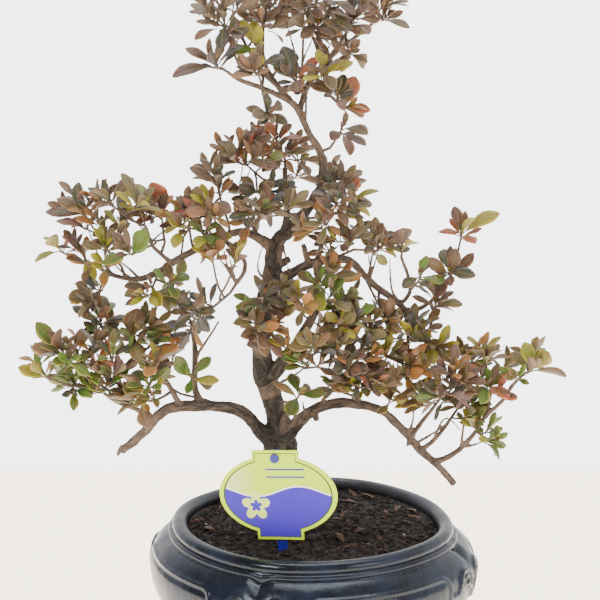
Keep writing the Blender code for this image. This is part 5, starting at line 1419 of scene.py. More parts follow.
def bark_material():
    """Grey-brown fissured bark with reddish patches; its fissures darken with their depth, partly their own
    darker colour and partly painted shade; thin limbs are paler.
    """
    material, tree, shader = new_material("azalea_bark", 0.85)
    place = object_place(tree)
    strands = grain(tree, stored(tree, "grain", "Vector"), 420, 5, 0.65, 0.3)
    patches = grain(tree, place, 34, 3, 0.6, 0.5)
    specks = grain(tree, place, 900, 3)
    young = tint(tree, linear("40342c"), "6a584a", strands, 0.34, 0.66)
    old = tint(tree, linear("171411"), "3d352e", strands, 0.36, 0.64)
    old = tint(tree, old, "5a3e30", patches, 0.54, 0.70, 0, 0.4)
    colour = blend_colours(tree, ramp(tree, stored(tree, "age"), 0.30, 0.85), young, old)
    colour = tint(tree, colour, "857664", patches, 0.44, 0.30, 0, 0.35)
    # Darker the deeper the fissures sink: partly the cracks' own colour, partly painted shade.
    colour = tint(tree, colour, "1a130f", stored(tree, "relief"), -0.05, -0.45, 0, 0.85)
    colour = tint(tree, colour, "978874", specks, 0.60, 0.76, 0, 0.4)
    wire(tree, colour, shader, "Base Color")
    wire(tree, ramp(tree, strands, 0.3, 0.7, 0.95, 0.75), shader, "Roughness")
    wire(tree, bump(tree, specks, 0.35, 0.3, bump(tree, strands, 0.8, 0.8)), shader, "Normal")
    return material


# More rosettes than the solids hold, read off the view: across, down and the tones of their leaves
MORE_ROSETTES = {
    "spray_crown_top_left": [
        (206, 10, "bpb"), (222, 4, "obb"), (238, 8, "obs"), (214, 22, "bob"), (228, 32, "bos")],
    "spray_crown_left_front": [
        (256, 73, "bbn")],
    "spray_crown_middle": [
        (252, 4, "bob"), (262, 18, "obn"), (271, 26, "bob"), (278, 4, "nbb"), (288, 6, "npb")],
    "spray_crown_right_front": [
        (288, 72, "ssp"), (318, 80, "bbn")],
    "spray_crown_right_mass": [
        (297, 4, "bno"), (306, 9, "bob"), (318, 6, "bos"), (330, 10, "bos"), (300, 25, "ob"),
        (312, 28, "obn"), (325, 27, "nob"), (336, 27, "bno"), (318, 36, "ob")],
    "spray_crown_right_top": [
        (342, 8, "rob"), (353, 8, "srb"), (362, 13, "bob"), (346, 25, "bpo")],
    "spray_crown_far_right": [
        (376, 8, "nbb"), (389, 3, "nbb")],
    "spray_middle_back": [
        (262, 138, "rbp"), (274, 147, "obr"), (284, 153, "obs"), (294, 146, "bpb"), (280, 161, "ob"),
        (298, 172, "nb")],
    "spray_middle_left": [
        (226, 152, "bno"), (238, 146, "bnb"), (250, 142, "ybp"), (256, 158, "nbb"), (268, 160, "ngb"),
        (246, 194, "obs"), (268, 187, "sso"), (278, 191, "so")],
    "spray_middle_left_high": [
        (208, 169, "ogs"), (221, 189, "bn"), (204, 197, "bo"), (214, 214, "bbn"), (198, 213, "nrb")],
    "spray_middle_left_low": [
        (186, 206, "bnb"), (172, 216, "byn"), (196, 217, "rnb"), (184, 228, "ynb"), (208, 246, "yno"),
        (227, 243, "ogy")],
    "spray_middle_front": [
        (252, 209, "obs"), (268, 205, "obs"), (262, 217, "bo"), (288, 208, "o"), (247, 221, "bnb")],
    "spray_middle_right_high": [
        (334, 178, "ob"), (350, 177, "rbo"), (332, 190, "osb"), (346, 194, "rno")],
    "spray_middle_right": [
        (330, 214, "nob"), (345, 214, "gos"), (356, 210, "oso"), (318, 227, "bo"), (308, 229, "nb")],
    "spray_middle_right_low": [
        (334, 239, "bos"), (342, 233, "rnb"), (356, 233, "obs"), (376, 242, "sbp"), (388, 243, "sbp"),
        (372, 253, "yob"), (326, 246, "pb")],
    "spray_left_far_top": [
        (136, 201, "yno"), (100, 196, "nob")],
    "spray_left_far_high": [
        (76, 201, "snb"), (90, 201, "son"), (98, 219, "obn"), (80, 225, "bnp"), (104, 233, "obs"),
        (70, 212, "pbo")],
    "spray_left_far": [
        (74, 246, "psp"), (88, 262, "bn")],
    "spray_left_far_low": [
        (106, 267, "ynb"), (100, 290, "bos"), (88, 300, "bso")],
    "spray_left_red": [
        (152, 203, "rpb"), (166, 209, "bn"), (144, 214, "bp")],
    "spray_left_under": [
        (158, 294, "ygo"), (146, 295, "oby"), (170, 288, "gyo")],
    "spray_left_hanging": [
        (206, 301, "bso"), (190, 302, "sss"), (191, 330, "sn")],
    "spray_low_left_far": [
        (62, 369, "gg"), (74, 373, "gs"), (68, 385, "gg"), (76, 392, "gs"), (92, 391, "gs"),
        (84, 379, "gg")],
    "spray_low_left_out": [
        (70, 347, "bog"), (80, 346, "bro"), (84, 357, "gg"), (70, 359, "gg"), (100, 361, "rn"),
        (92, 366, "obs")],
    "spray_low_left_high": [
        (100, 312, "bro"), (106, 327, "bro"), (97, 332, "sgs"), (112, 353, "sgo"), (104, 373, "bgs"),
        (104, 389, "gs"), (118, 371, "pbo"), (92, 302, "bos")],
    "spray_low_left_top": [
        (131, 331, "bgo"), (142, 325, "go"), (154, 327, "bo"), (150, 339, "yg"), (168, 331, "yg"),
        (118, 337, "sgo"), (126, 347, "sog"), (140, 347, "og"), (161, 343, "on")],
    "spray_low_left_front": [
        (136, 371, "bgo"), (150, 369, "rbo"), (146, 357, "rob"), (162, 353, "on"), (170, 347, "ob"),
        (160, 375, "gso"), (152, 393, "oy"), (128, 405, "bs"), (130, 395, "nby"), (122, 389, "ob"),
        (118, 363, "bpo"), (140, 385, "oby")],
    "spray_trunk_front": [
        (256, 303, "ogs"), (268, 307, "npo"), (280, 301, "gso"), (272, 326, "nb"), (256, 319, "osb"),
        (284, 291, "o"), (268, 341, "pb")],
    "spray_centre_right": [
        (318, 279, "gob"), (308, 273, "og"), (330, 271, "on"), (338, 281, "gsn"), (330, 293, "gos"),
        (318, 301, "ngo"), (334, 307, "gyo"), (348, 303, "ogo"), (354, 317, "gos"), (346, 319, "ssp"),
        (330, 319, "yo"), (304, 307, "bn")],
    "spray_centre_low": [
        (312, 345, "oby"), (326, 351, "gos"), (338, 347, "nob"), (350, 341, "nob"), (346, 357, "psb"),
        (332, 363, "pb"), (360, 351, "bpo"), (372, 357, "nbr"), (366, 335, "bro"), (356, 331, "gso"),
        (382, 339, "ogb")],
    "spray_centre_twig": [
        (346, 373, "yns"), (302, 360, "g"), (316, 351, "ob"), (324, 339, "gob"), (332, 370, "p")],
    "spray_right_inner": [
        (366, 321, "bro"), (376, 317, "obs"), (388, 319, "yob"), (398, 323, "sb"), (392, 337, "yg")],
    "spray_right_low_end": [
        (376, 351, "bpr"), (390, 353, "bo"), (384, 367, "bso"), (396, 373, "bpo"), (372, 373, "pbs"),
        (412, 367, "nob"), (414, 383, "yo")],
    "spray_right_low_inner": [
        (362, 377, "bos"), (374, 385, "prb"), (358, 389, "yob"), (386, 385, "bo"), (350, 383, "s"),
        (392, 397, "bo")],
    "spray_right_middle": [
        (436, 297, "bpb"), (428, 341, "nyb"), (416, 337, "yob"), (440, 345, "yb"), (424, 353, "ny"),
        (412, 325, "sb"), (428, 327, "sb")],
    "spray_low_right_front": [
        (444, 373, "spb"), (456, 371, "bpn"), (440, 389, "psb"), (452, 393, "spb"), (466, 379, "pbp"),
        (436, 397, "gsb"), (424, 399, "oyb"), (414, 405, "oyb")],
    "spray_low_right_middle": [
        (464, 357, "nyo"), (456, 349, "bn"), (474, 361, "sgo"), (458, 401, "bs"), (470, 419, "yg"),
        (476, 405, "gs")],
    "spray_low_right_out": [
        (480, 377, "prp"), (496, 393, "rop"), (490, 351, "nyb"), (480, 349, "ny"), (504, 369, "gos"),
        (470, 393, "rbp")],
    "spray_low_right_far": [
        (524, 358, "yoy"), (518, 377, "go"), (534, 356, "yog")],
    "spray_low_right_under": [
        (486, 431, "gyg"), (474, 425, "yg")],
}

# The sprays that get no small side shoots, and those that get few new leaves as well
NO_SHOOTS = ("spray_middle_right_high", "spray_middle_right", "spray_middle_right_low", "spray_left_hanging",
             "spray_low_left_back", "spray_right_far_high", "spray_crown_right_front",
             "spray_crown_far_left", "spray_crown_left_front", "spray_low_right_far")
SPARSE = ("spray_centre_green", "spray_left_under", "spray_crown_back_left", "spray_crown_skirt",
          "spray_right_top", "spray_low_left_inner", "spray_left_far", "spray_right_front")


# The leaves' colours: near the base, towards the tip, and underneath.  Tone d is a dead leaf.
TONES = {
    "b": ("66600e", "623826", "6e5a40"),
    "p": ("5a4c20", "482830", "624a4c"),
    "o": ("5e6c0e", "6a5a28", "767046"),
    "s": ("3a4a1c", "222a32", "424b50"),
    "r": ("8a5a1a", "a03c2c", "985a4a"),
    "n": ("a88c14", "b0641c", "a8782c"),
    "y": ("808c06", "9c9018", "949040"),
    "g": ("3e6606", "4a6e10", "5e7436"),
    "d": ("54392a", "6c4c38", "4c3628"),
}
YOUNG_TONES = "nyrb"
# These tones are quieter higher up in the tree: the share of the quiet colour at two heights
MUTED_TONES = "bon"
MUTED_COLOUR = "5c4a4e"
MUTED_LOW, MUTED_HIGH = 0.04, 0.60
MUTED_FROM, MUTED_TO = 0.14, 0.34
LEAF_SHADES = (0.62, 1.08)
LEAF_GLOW = 0.5
BARK_YOUNG, BARK_OLD = "6c5444", "5c5044"

# Dead leaves on the peat: places in the view, and how many more are strewn
DEAD_PLACES = [(410, 512), (360, 534), (284, 556), (194, 497), (207, 505), (377, 493)]
DEAD_STREWN = 9
DEAD_LENGTHS = (0.008, 0.015)
DEAD_SLIMNESS = (0.34, 0.46)
DEAD_ARCHES = (0.10, 0.22)
DEAD_INSET_MM = 12
DEAD_OVER_MM = 0.5

# The finer foliage: whorls of leaves round a shoot's end, with outer and inner leans from its axis in degrees
CELL = 24 * MM
SHEET_ROWS = [(0.22, 0.35), (0.42, 0.80), (0.66, 1.0), (0.88, 0.75)]
ADDED_PER_SHOOT = 5
ADDED_WHERE_SPARSE = 2
ADDED_SLIMNESS = (0.30, 0.44)
WHORL_LEANS, BUD_LEANS = (66, 18), (40, 12)
WHORL_HEIGHT = 5 * MM
WHORL_TRIES = 7
WHORL_NUDGE = 0.7
WHORL_STRAY = 0.3
TILT_STRAY = 12
FOOT_OFF_AXIS = 0.6
WHORL_SHRINK = 0.15
BUD_FIRST = 0.8
GOLDEN = math.radians(137.5)
SMALL_LEAVES = (0.011, 0.0185)
YOUNG_LEAVES = (0.005, 0.009)
MORE_LEAVES = (6, 7)
MORE_DEPTH_MM = 9
MORE_STRAY = 2
MORE_TRIES = 6
STALK_MM = 0.78
STALK_LEAST = 6 * MM
STALK_STEP = 4 * MM
STALK_BOW = 0.08
STALK_BEND_AT, STALK_END = 0.45, 0.25
STALK_RISE = 0.5
DOWNHILL_COST = 1.5
BOX_INSET = 2 * MM
SHOOT_START = 0.6
SHOOT_GAP = 8.5 * MM
FIRST_GAPS, NEXT_GAPS = (0.3, 1.0), (0.7, 1.5)
SHOOT_LENGTHS = (0.006, 0.013)
SHOOT_LEAVES = (5, 6)
SHOOT_TRIES = 4
SHOOT_ALONG, SHOOT_ASIDE, SHOOT_UP = 0.7, 0.9, 0.5
SHOOT_TIP, SHOOT_TIP_UP = 3 * MM, 0.6
SHOOT_ROOM = 12 * MM
FINE_TWIG = 0.72
FINE_TWIG_SIDES = 7
FINE_TWIG_STEP = 2.5 * MM
FINE_KNOTS = 0.16
FINE_FOOT, FINE_TAPER = 1.15, 0.3

# A blade: its rows of points as shares of its length and half width, and what differs from leaf to leaf
STATIONS = [0.0, 0.08, 0.20, 0.36, 0.52, 0.67, 0.80, 0.91, 0.97]
SPANS = [-1.0, -0.52, 0.0, 0.52, 1.0]
STALK_HALF = 0.45 * MM
FOLDS = (0.02, 0.22)
WAVES_MM = (0.0, 0.35)
WAVE_COUNTS = (1.4, 2.6)
DROOPS = (-0.10, 0.03)
BENDS = (-0.05, 0.05)
BLADE_HALF_THICK = 0.16 * MM
RIB_HALF_THICK, RIB_WIDTH = 0.22 * MM, 0.22
STALK_HALF_THICK = 0.25 * MM
TIP_THINNING = 0.45

# What new leaves keep clear of: the leaves so far, by the cell they stand in, and a search tree of the wood
Room = namedtuple("Room", "crowd wood")


def cell_of(place):
    return tuple(math.floor(c / CELL) for c in place)


def near_by(crowd, place):
    """What stands in the cells round a place."""
    found = []
    x, y, z = cell_of(place)
    for i, j, k in product((-1, 0, 1), repeat=3):
        found.extend(crowd.get((x + i, y + j, z + k), ()))
    return found


def leaf_sheet(leaf):
    """A search tree of a leaf's middle surface beyond its narrow foot."""
    points = []
    for t, share in SHEET_ROWS:
        middle = leaf_middle(leaf, t)
        half = leaf.across * leaf.width * 0.5 * share
        points += [middle - half, middle + half]
    points.append(leaf.root + leaf.reach)
    count = len(SHEET_ROWS) * 2
    faces = [(i, i + 1, i + 3, i + 2) for i in range(0, count - 2, 2)]
    return BVHTree.FromPolygons(points, faces + [(count - 2, count - 1, count)])


def settle_leaf(crowd, leaf, sheet):
    """Keeps a leaf's sheet in the cell that the leaf's middle stands in."""
    crowd.setdefault(cell_of(leaf.root + leaf.reach * 0.5), []).append(sheet)


def has_room(sheet, place, room):
    """Whether a sheet or tube at a place crosses neither the wood nor a leaf near it."""
    if sheet.overlap(room.wood):
        return False
    return not any(sheet.overlap(other) for other in near_by(room.crowd, place))


def place_in_box(place):
    """Whether a place lies within the outline of the part's own box."""
    low, high = CAD_BOX
    return all(low[i] + BOX_INSET < place[i] + PLANT_CENTRE[i] < high[i] - BOX_INSET for i in range(3))


def free_leaf(draws, centre, axis, turn, lean, length, tone):
    """A leaf that leaves a shoot at a turn about it, leaning away from its axis."""
    side = axis.orthogonal().normalized()
    outward = Matrix.Rotation(turn, 3, axis) @ side
    reach = (axis * math.cos(lean) + outward * math.sin(lean)) * length
    root = centre + outward * TWIG_TIP_MM * MM * FOOT_OFF_AXIS
    aim = reach.normalized()
    face = axis * max(LEAST_LIFT, outward.dot(aim)) - outward * axis.dot(aim) + stray(draws, FACE_STRAY)
    face = square_to(face + FRONT * math.copysign(TO_FRONT, face.dot(FRONT)), aim)
    width = length * draws.uniform(*ADDED_SLIMNESS)
    return Leaf(None, root, reach, face, face.cross(aim), width, draws.uniform(*LEAF_ARCHES), tone)


def add_whorl(draws, room, spray, top, axis, tones, count, lengths, first=0.0, leans=WHORL_LEANS):
    """Leaves round a shoot's end, each tried at a few turns and leans until it has room."""
    start = draws.uniform(0, 2 * math.pi)
    for rank in range(count):
        share = first + (1 - first) * rank / max(1, count - 1)
        centre = top - axis * (1 - share) * WHORL_HEIGHT
        for attempt in range(WHORL_TRIES):
            turn = start + GOLDEN * rank + draws.uniform(-WHORL_STRAY, WHORL_STRAY) + WHORL_NUDGE * attempt
            lean = leans[0] + (leans[1] - leans[0]) * share + draws.uniform(-TILT_STRAY, TILT_STRAY)
            length = draws.uniform(*lengths) * (1 - WHORL_SHRINK * share)
            leaf = free_leaf(draws, centre, axis, turn, math.radians(lean), length, draws.choice(tones))
            sheet = leaf_sheet(leaf)
            if has_room(sheet, leaf.root + leaf.reach * 0.5, room):
                settle_leaf(room.crowd, leaf, sheet)
                spray["extra"].append(leaf)
                break


def add_bud(draws, room, spray, top, axis, tones, count):
    """Young leaves, steep and short, in the middle of a whorl."""
    add_whorl(draws, room, spray, top, axis, tones + YOUNG_TONES, count, YOUNG_LEAVES, BUD_FIRST, BUD_LEANS)


def stalk_to(draws, starts, place):
    """A thin stalk up to a place from the handiest of some starts, or None where all are too near."""
    best = None
    for start in starts:
        span = place - start.to_3d()
        cost = span.length + max(0, -span.z) * DOWNHILL_COST
        if span.length > STALK_LEAST and (best is None or cost < best[0]):
            best = (cost, start)
    if best is None:
        return None
    root = best[1].to_3d()
    span = place - root
    bow = stray(draws, 1) * STALK_BOW * span.length
    axis = (span.normalized() + Vector((0, 0, STALK_RISE))).normalized()
    points = [root, root + span * STALK_BEND_AT + bow, place - axis * STALK_END * span.length, place]
    return smooth_route([Vector((*point, STALK_MM * MM)) for point in points], STALK_STEP)


def add_rosettes(draws, room, spray, limb_points, places):
    """More rosettes at places in the view, each on a stalk from the spray's twigs or its limb."""
    starts = [point for twig in spray["twigs"] for point in twig.route[1:-SHOOT_LEVELS]] + limb_points[1:]
    for across, down, tones in places:
        near = min(spray["rosettes"], key=lambda r: math.hypot(r.across - across, r.down - down))
        for _ in range(MORE_TRIES):
            depth = near.depth + draws.uniform(-MORE_DEPTH_MM, MORE_DEPTH_MM)
            aside, lower = (draws.uniform(-MORE_STRAY, MORE_STRAY) for _ in range(2))
            place = seen(across + aside, down + lower, depth)
            stalk = stalk_to(draws, starts, place)
            if stalk is None or not place_in_box(place):
                continue
            if has_room(tube_guard(stalk[len(stalk) // 3:]), place, room):
                spray["shoots"].append(stalk)
                starts += stalk[1:-1]
                axis = (stalk[-1] - stalk[-2]).to_3d().normalized()
                add_whorl(draws, room, spray, place, axis, tones, draws.randint(*MORE_LEAVES), LEAF_LENGTHS)
                add_bud(draws, room, spray, place, axis, tones, 2)
                break


def draw_shoot(draws, root, along):
    """The corners of a small side shoot's route from a twig, and the direction it ends in."""
    swing = square_to(Vector([draws.gauss(0, 1) for _ in range(3)]), along)
    way = (along * SHOOT_ALONG + swing * SHOOT_ASIDE + Vector((0, 0, SHOOT_UP))).normalized()
    tip = root + way * draws.uniform(*SHOOT_LENGTHS)
    axis = (way + Vector((0, 0, SHOOT_TIP_UP))).normalized()
    middle = (root + tip) / 2 - Vector((0, 0, 0.4 * MM))
    return [root, middle, tip, tip + axis * SHOOT_TIP], axis


def add_shoots(draws, room, spray, tones):
    """Small side shoots on the outer part of a spray's twigs, each with its own whorl."""
    for twig in spray["twigs"]:
        route = twig.route[int(len(twig.route) * SHOOT_START):]
        travelled, due = 0.0, SHOOT_GAP * draws.uniform(*FIRST_GAPS)
        ways = directions(route)
        for i in range(1, len(route) - SHOOT_LEVELS):
            travelled += (route[i] - route[i - 1]).to_3d().length
            if travelled < due:
                continue
            due = travelled + SHOOT_GAP * draws.uniform(*NEXT_GAPS)
            for _ in range(SHOOT_TRIES):
                points, axis = draw_shoot(draws, route[i].to_3d(), ways[i])
                shoot = [Vector((*point, TWIG_TIP_MM * MM)) for point in points]
                guard = tube_guard([shoot[0].lerp(shoot[1], 0.8)] + shoot[1:])
                if has_room(guard, points[2], room) and place_in_box(points[2] + axis * SHOOT_ROOM):
                    spray["shoots"].append(shoot)
                    count = draws.randint(*SHOOT_LEAVES)
                    add_whorl(draws, room, spray, points[-1], axis, tones, count, SMALL_LEAVES)
                    break


def finish_foliage(routes, sprays):
    """Adds to the laid-out sprays what their solids have no room for: more leaves and small side shoots."""
    twig_routes = [twig.route for spray in sprays.values() for twig in spray["twigs"]]
    room = Room({}, BVHTree.FromPolygons(*skin_over(list(routes.values()) + twig_routes, GUARD_SIDES)))
    for spray in sprays.values():
        spray["extra"], spray["shoots"] = [], []
        for leaf in chain(*spray["leaves"]):
            settle_leaf(room.crowd, leaf, leaf_sheet(leaf))
    for name, spray in sprays.items():
        draws = random.Random(f"{SEED} {name} more")
        for found, twig in zip(spray["rosettes"], spray["twigs"]):
            top = twig.route[-1].to_3d()
            axis = (twig.route[-1] - twig.route[-2]).to_3d().normalized()
            count = ADDED_WHERE_SPARSE if name in SPARSE else ADDED_PER_SHOOT
            add_whorl(draws, room, spray, top, axis, found.tones, count, LEAF_LENGTHS)
            add_bud(draws, room, spray, top, axis, found.tones, 3)
        add_rosettes(draws, room, spray, routes[SPRAYS[name][0]], MORE_ROSETTES.get(name, ()))
        if name not in SPARSE + NO_SHOOTS:
            add_shoots(draws, room, spray, "".join(found.tones for found in spray["rosettes"]))


def blade_share(t):
    """A leaf's half width at a share of its length, as a share of the widest: obovate, with a blunt point."""
    x = np.clip((t - 0.07) / 0.93, 0, 1)
    return np.sin(math.pi * x ** 1.5) ** 0.74


def blade_faces():
    """The faces of one leaf: upper side, lower side and foot, over its rows of points."""
    rows, columns = len(STATIONS), len(SPANS)
    tip = rows * columns

    def upper(row, column):
        return row * columns + column

    def lower(row, column):
        if column in (0, columns - 1):
            return upper(row, column)
        return tip + 1 + row * (columns - 2) + column - 1

    faces = []
    for row in range(rows - 1):
        for i in range(columns - 1):
            faces.append((upper(row, i), upper(row, i + 1), upper(row + 1, i + 1), upper(row + 1, i)))
            faces.append((lower(row, i), lower(row + 1, i), lower(row + 1, i + 1), lower(row, i + 1)))
    for i in range(columns - 1):
        faces.append((upper(rows - 1, i), upper(rows - 1, i + 1), tip))
        faces.append((lower(rows - 1, i), tip, lower(rows - 1, i + 1)))
    foot = [upper(0, i) for i in range(columns)] + [lower(0, i) for i in range(columns - 2, 0, -1)]
    faces.append(tuple(foot[::-1]))
    return faces


BLADE_FACES = blade_faces()
ALONG = np.array(STATIONS)[:, None]
ASIDE = np.array(SPANS)[None, :]


def blade_order(top, tip, low):
    """Values for a leaf's points in their order: upper side, tip, then the lower side without its edges."""
    return np.concatenate([top.reshape(-1, 3), tip, low.reshape(-1, 3)])


def blade_points(leaf, draws):
    """A leaf's points, folded along its rib, waved along its edges, and arched."""
    t, s = ALONG, ASIDE
    reach, face, across = (np.array(v) for v in (leaf.reach, leaf.face, leaf.across))
    length = leaf.reach.length
    half = np.maximum(blade_share(t) * leaf.width * 0.5, STALK_HALF * (1 - 0.6 * t))
    fold = draws.uniform(*FOLDS)
    wave = draws.uniform(*WAVES_MM) * MM
    phase = draws.uniform(0, 2 * math.pi)
    waves = draws.uniform(*WAVE_COUNTS)
    droop = draws.uniform(*DROOPS)
    bend = draws.uniform(*BENDS)
    lift = leaf.arch * length * 4 * t * (1 - t) + droop * length * t ** 3 * (1 - t)
    lift = lift + fold * half * np.abs(s) ** 1.3
    lift = lift + wave * s ** 2 * np.sin(2 * math.pi * waves * t + phase * np.sign(s)) * np.minimum(1, 6 * t)
    slide = bend * length * 4 * t * (1 - t)
    thick = (BLADE_HALF_THICK + RIB_HALF_THICK * np.exp(-(s / RIB_WIDTH) ** 2)) * (1 - TIP_THINNING * t)
    thick = (thick + STALK_HALF_THICK * np.exp(-t * 14)) * np.where(np.abs(s) > 0.99, 0, 1)
    flat = np.array(leaf.root) + reach * t[..., None] + across * (half * s + slide)[..., None]
    top = flat + face * (lift + thick)[..., None]
    low = (flat + face * (lift - thick)[..., None])[:, 1:-1]
    return blade_order(top, np.array(leaf.root + leaf.reach)[None, :], low)


def blade_tones(leaf, draws):
    """The colour at each of a leaf's points."""
    base, tip, under = (np.array(linear(text)) for text in TONES[leaf.tone])
    if leaf.tone in MUTED_TONES:
        height = min(1, max(0, (leaf.root.z - MUTED_FROM) / (MUTED_TO - MUTED_FROM)))
        muted = MUTED_LOW + (MUTED_HIGH - MUTED_LOW) * height
        quiet = np.array(linear(MUTED_COLOUR)) * muted
        base, tip, under = (colour * (1 - muted) + quiet for colour in (base, tip, under))
    shade = draws.uniform(*LEAF_SHADES)
    light = np.array([draws.uniform(0.93, 1.08), 1.0, draws.uniform(0.9, 1.1)]) * shade
    share = np.clip(0.85 * ALONG + 0.6 * ASIDE ** 2 - 0.12 + draws.uniform(-0.22, 0.22), 0, 1)[..., None]
    top = (base * (1 - share) + tip * share) * light
    low = under * light * np.ones(top[:, 1:-1].shape)
    return np.clip(blade_order(top, (tip * light)[None, :], low), 0, 1)


def blade_places():
    """Where each of a leaf's points lies on it: across, along, and 1 underneath."""
    top = np.stack(np.broadcast_arrays(ASIDE, ALONG, 0 * ALONG), axis=2)
    low = top[:, 1:-1].copy()
    low[..., 2] = 1
    return blade_order(top, [[0, 1, 0]], low)


def fine_route(route):
    """A twig's route in small steps, thinner than in the solids, with slight knots at its joints."""
    fine = []
    for start, end in zip(route, route[1:]):
        steps = max(1, round((end - start).to_3d().length / FINE_TWIG_STEP))
        fine += [start.lerp(end, i / steps) for i in range(steps)]
    fine.append(route[-1].copy())
    for i, point in enumerate(fine):
        knots = 1 + FINE_KNOTS * math.sin(2.1 * i) ** 4
        point.w *= FINE_TWIG * knots * (FINE_FOOT - FINE_TAPER * i / len(fine))
    return fine


def twig_points(route):
    """A fine twig's points, faces and colours."""
    fine = fine_route(route)
    corners, faces = tube(fine, FINE_TWIG_SIDES)
    old, young = np.array(linear(BARK_OLD)), np.array(linear(BARK_YOUNG))
    tones = []
    for i in range(len(fine)):
        share = i / max(1, len(fine) - 1)
        tones += [old * (1 - share) + young * share] * FINE_TWIG_SIDES
    return np.array([tuple(corner) for corner in corners]), faces, np.array(tones)


def make_foliage(sprays, slots):
    """One piece for each spray: its twigs and all its leaves."""
    materials = [leaf_material(), twig_material()]
    blade = blade_places()
    for name, spray in sprays.items():
        draws = random.Random(f"{SEED} {name} blades")
        points, faces, tones, places, kinds = [], [], [], [], []
        count = 0
        for route in [twig.route for twig in spray["twigs"]] + spray["shoots"]:
            corners, sides, colours = twig_points(route)
            points.append(corners)
            faces += counted_from(count, sides)
            kinds += [1] * len(sides)
            tones.append(colours)
            places.append(np.zeros((len(corners), 3)))
            count += len(corners)
        for leaf in chain(*spray["leaves"], spray["extra"]):
            points.append(blade_points(leaf, draws))
            faces += counted_from(count, BLADE_FACES)
            kinds += [0] * len(BLADE_FACES)
            tones.append(blade_tones(leaf, draws))
            places.append(blade)
            count += len(blade)
        corners = np.concatenate(points) + np.array(PLANT_CENTRE)
        made = link_mesh("leafy_" + name.removeprefix("spray_"), corners, faces, materials)
        made.data.polygons.foreach_set("material_index", kinds)
        set_tones(made.data, np.concatenate(tones))
        set_attribute(made.data, "blade", "FLOAT_VECTOR", np.concatenate(places))
        settle(made, slots[name], name)


def leaf_material():
    """Small leathery leaves: a paler midrib, faint side veins, mottling and a soft sheen."""
    material, tree, shader = new_material("azalea_leaf", 0.45, Sheen_Weight=0.12, IOR=1.42,
                                          Subsurface_Weight=LEAF_GLOW, Subsurface_Radius=(1.0, 0.8, 0.35),
                                          Subsurface_Scale=0.9 * MM)
    place = object_place(tree)
    blade = put(tree, "SeparateXYZ", {0: stored(tree, "blade", "Vector")}).outputs
    off_rib = sums(tree, "ABSOLUTE", blade[0])
    rib = ramp(tree, off_rib, 0.03, 0.14, 1, 0)
    slant = sums(tree, "MULTIPLY_ADD", off_rib, -0.16, blade[1])
    stripes = sums(tree, "PINGPONG", sums(tree, "MULTIPLY", slant, 8.0), 0.5)
    fading = ramp(tree, off_rib, 0.1, 0.9, 1, 0.2)
    veins = sums(tree, "MULTIPLY", ramp(tree, stripes, 0.0, 0.12, 1, 0), fading)
    blotch = grain(tree, place, 170, 4, 0.6, 0.5)
    fine = grain(tree, place, 1300, 3)
    colour = tint(tree, stored(tree, "tone", "Color"), "74483a", blotch, 0.38, 0.66, 0, 0.36)
    colour = tint(tree, colour, "3c3a26", fine, 0.35, 0.7, 0, 0.2)
    colour = blend_colours(tree, sums(tree, "MULTIPLY", veins, 0.07), colour, linear("a89a4c"))
    colour = blend_colours(tree, sums(tree, "MULTIPLY", rib, 0.15), colour, linear("b0a04c"))
    wire(tree, colour, shader, "Base Color")
    wire(tree, ramp(tree, fine, 0.3, 0.7, 0.36, 0.56), shader, "Roughness")
    ridges = sums(tree, "ADD", sums(tree, "MULTIPLY", veins, -0.6), sums(tree, "MULTIPLY", rib, -1.0))
    wire(tree, bump(tree, fine, 0.15, 0.15, bump(tree, ridges, 0.45, 0.25)), shader, "Normal")
    return material


def twig_material():
    """Rough young bark in the colour kept at each point."""
    material, tree, shader = new_material("young_bark", 0.75)
    tone = stored(tree, "tone", "Color")
    rough = grain(tree, object_place(tree), 800, 4, 0.7)
    dark = blend_colours(tree, 1.0, tone, (0.38, 0.34, 0.32), "MULTIPLY")
    wire(tree, blend_colours(tree, ramp(tree, rough, 0.35, 0.62), dark, tone), shader, "Base Color")
    wire(tree, bump(tree, rough, 0.5, 0.3), shader, "Normal")
    return material


def on_peat(across, down):
    """The place on the peat, in mm from the pot's axis, that shows at a point of the view."""
    near, far = seen(across, down, -90), seen(across, down, 90)
    height = (SOIL_CROWN_MM + SOIL_RIM_MM) / 2 * MM
    place = near.lerp(far, (height - near.z) / (far.z - near.z)) / MM
    inward = min(1, (SOIL_REACH_MM - DEAD_INSET_MM) / math.hypot(place.x, place.y))
    return place.x * inward, place.y * inward


def make_dead_leaves():
    """Dry curled leaves that lie on the peat, with both ends down."""
    draws = random.Random("dead leaves")
    spots = [on_peat(*place) for place in DEAD_PLACES]
    spots += [scatter(draws, SOIL_REACH_MM - DEAD_INSET_MM) for _ in range(DEAD_STREWN)]
    points, faces, tones = [], [], []
    for spot in spots:
        length = draws.uniform(*DEAD_LENGTHS)
        turn = draws.uniform(0, 2 * math.pi)
        half = Vector((math.cos(turn), math.sin(turn))) * length / MM / 2
        start, end = Vector(spot) - half, Vector(spot) + half
        root = Vector((*start, soil_height(*start) + DEAD_OVER_MM)) * MM
        reach = Vector((*end, soil_height(*end) + DEAD_OVER_MM)) * MM - root
        face = Vector((draws.uniform(-0.5, 0.5), draws.uniform(-0.5, 0.5), 1))
        face = (face - reach * face.dot(reach) / reach.length_squared).normalized()
        width, arch = length * draws.uniform(*DEAD_SLIMNESS), draws.uniform(*DEAD_ARCHES)
        leaf = Leaf(None, root, reach, face, face.cross(reach).normalized(), width, arch, "d")
        corners = blade_points(leaf, draws)
        faces += counted_from(len(points) * len(corners), BLADE_FACES)
        points.append(corners)
        tones.append(blade_tones(leaf, draws))
    made = link_mesh("dead_leaves", np.concatenate(points) + np.array(PLANT_CENTRE), faces,
                     [litter_material("dead_leaf", 0.7)])
    set_tones(made.data, np.concatenate(tones))
    settle(made, "peat")


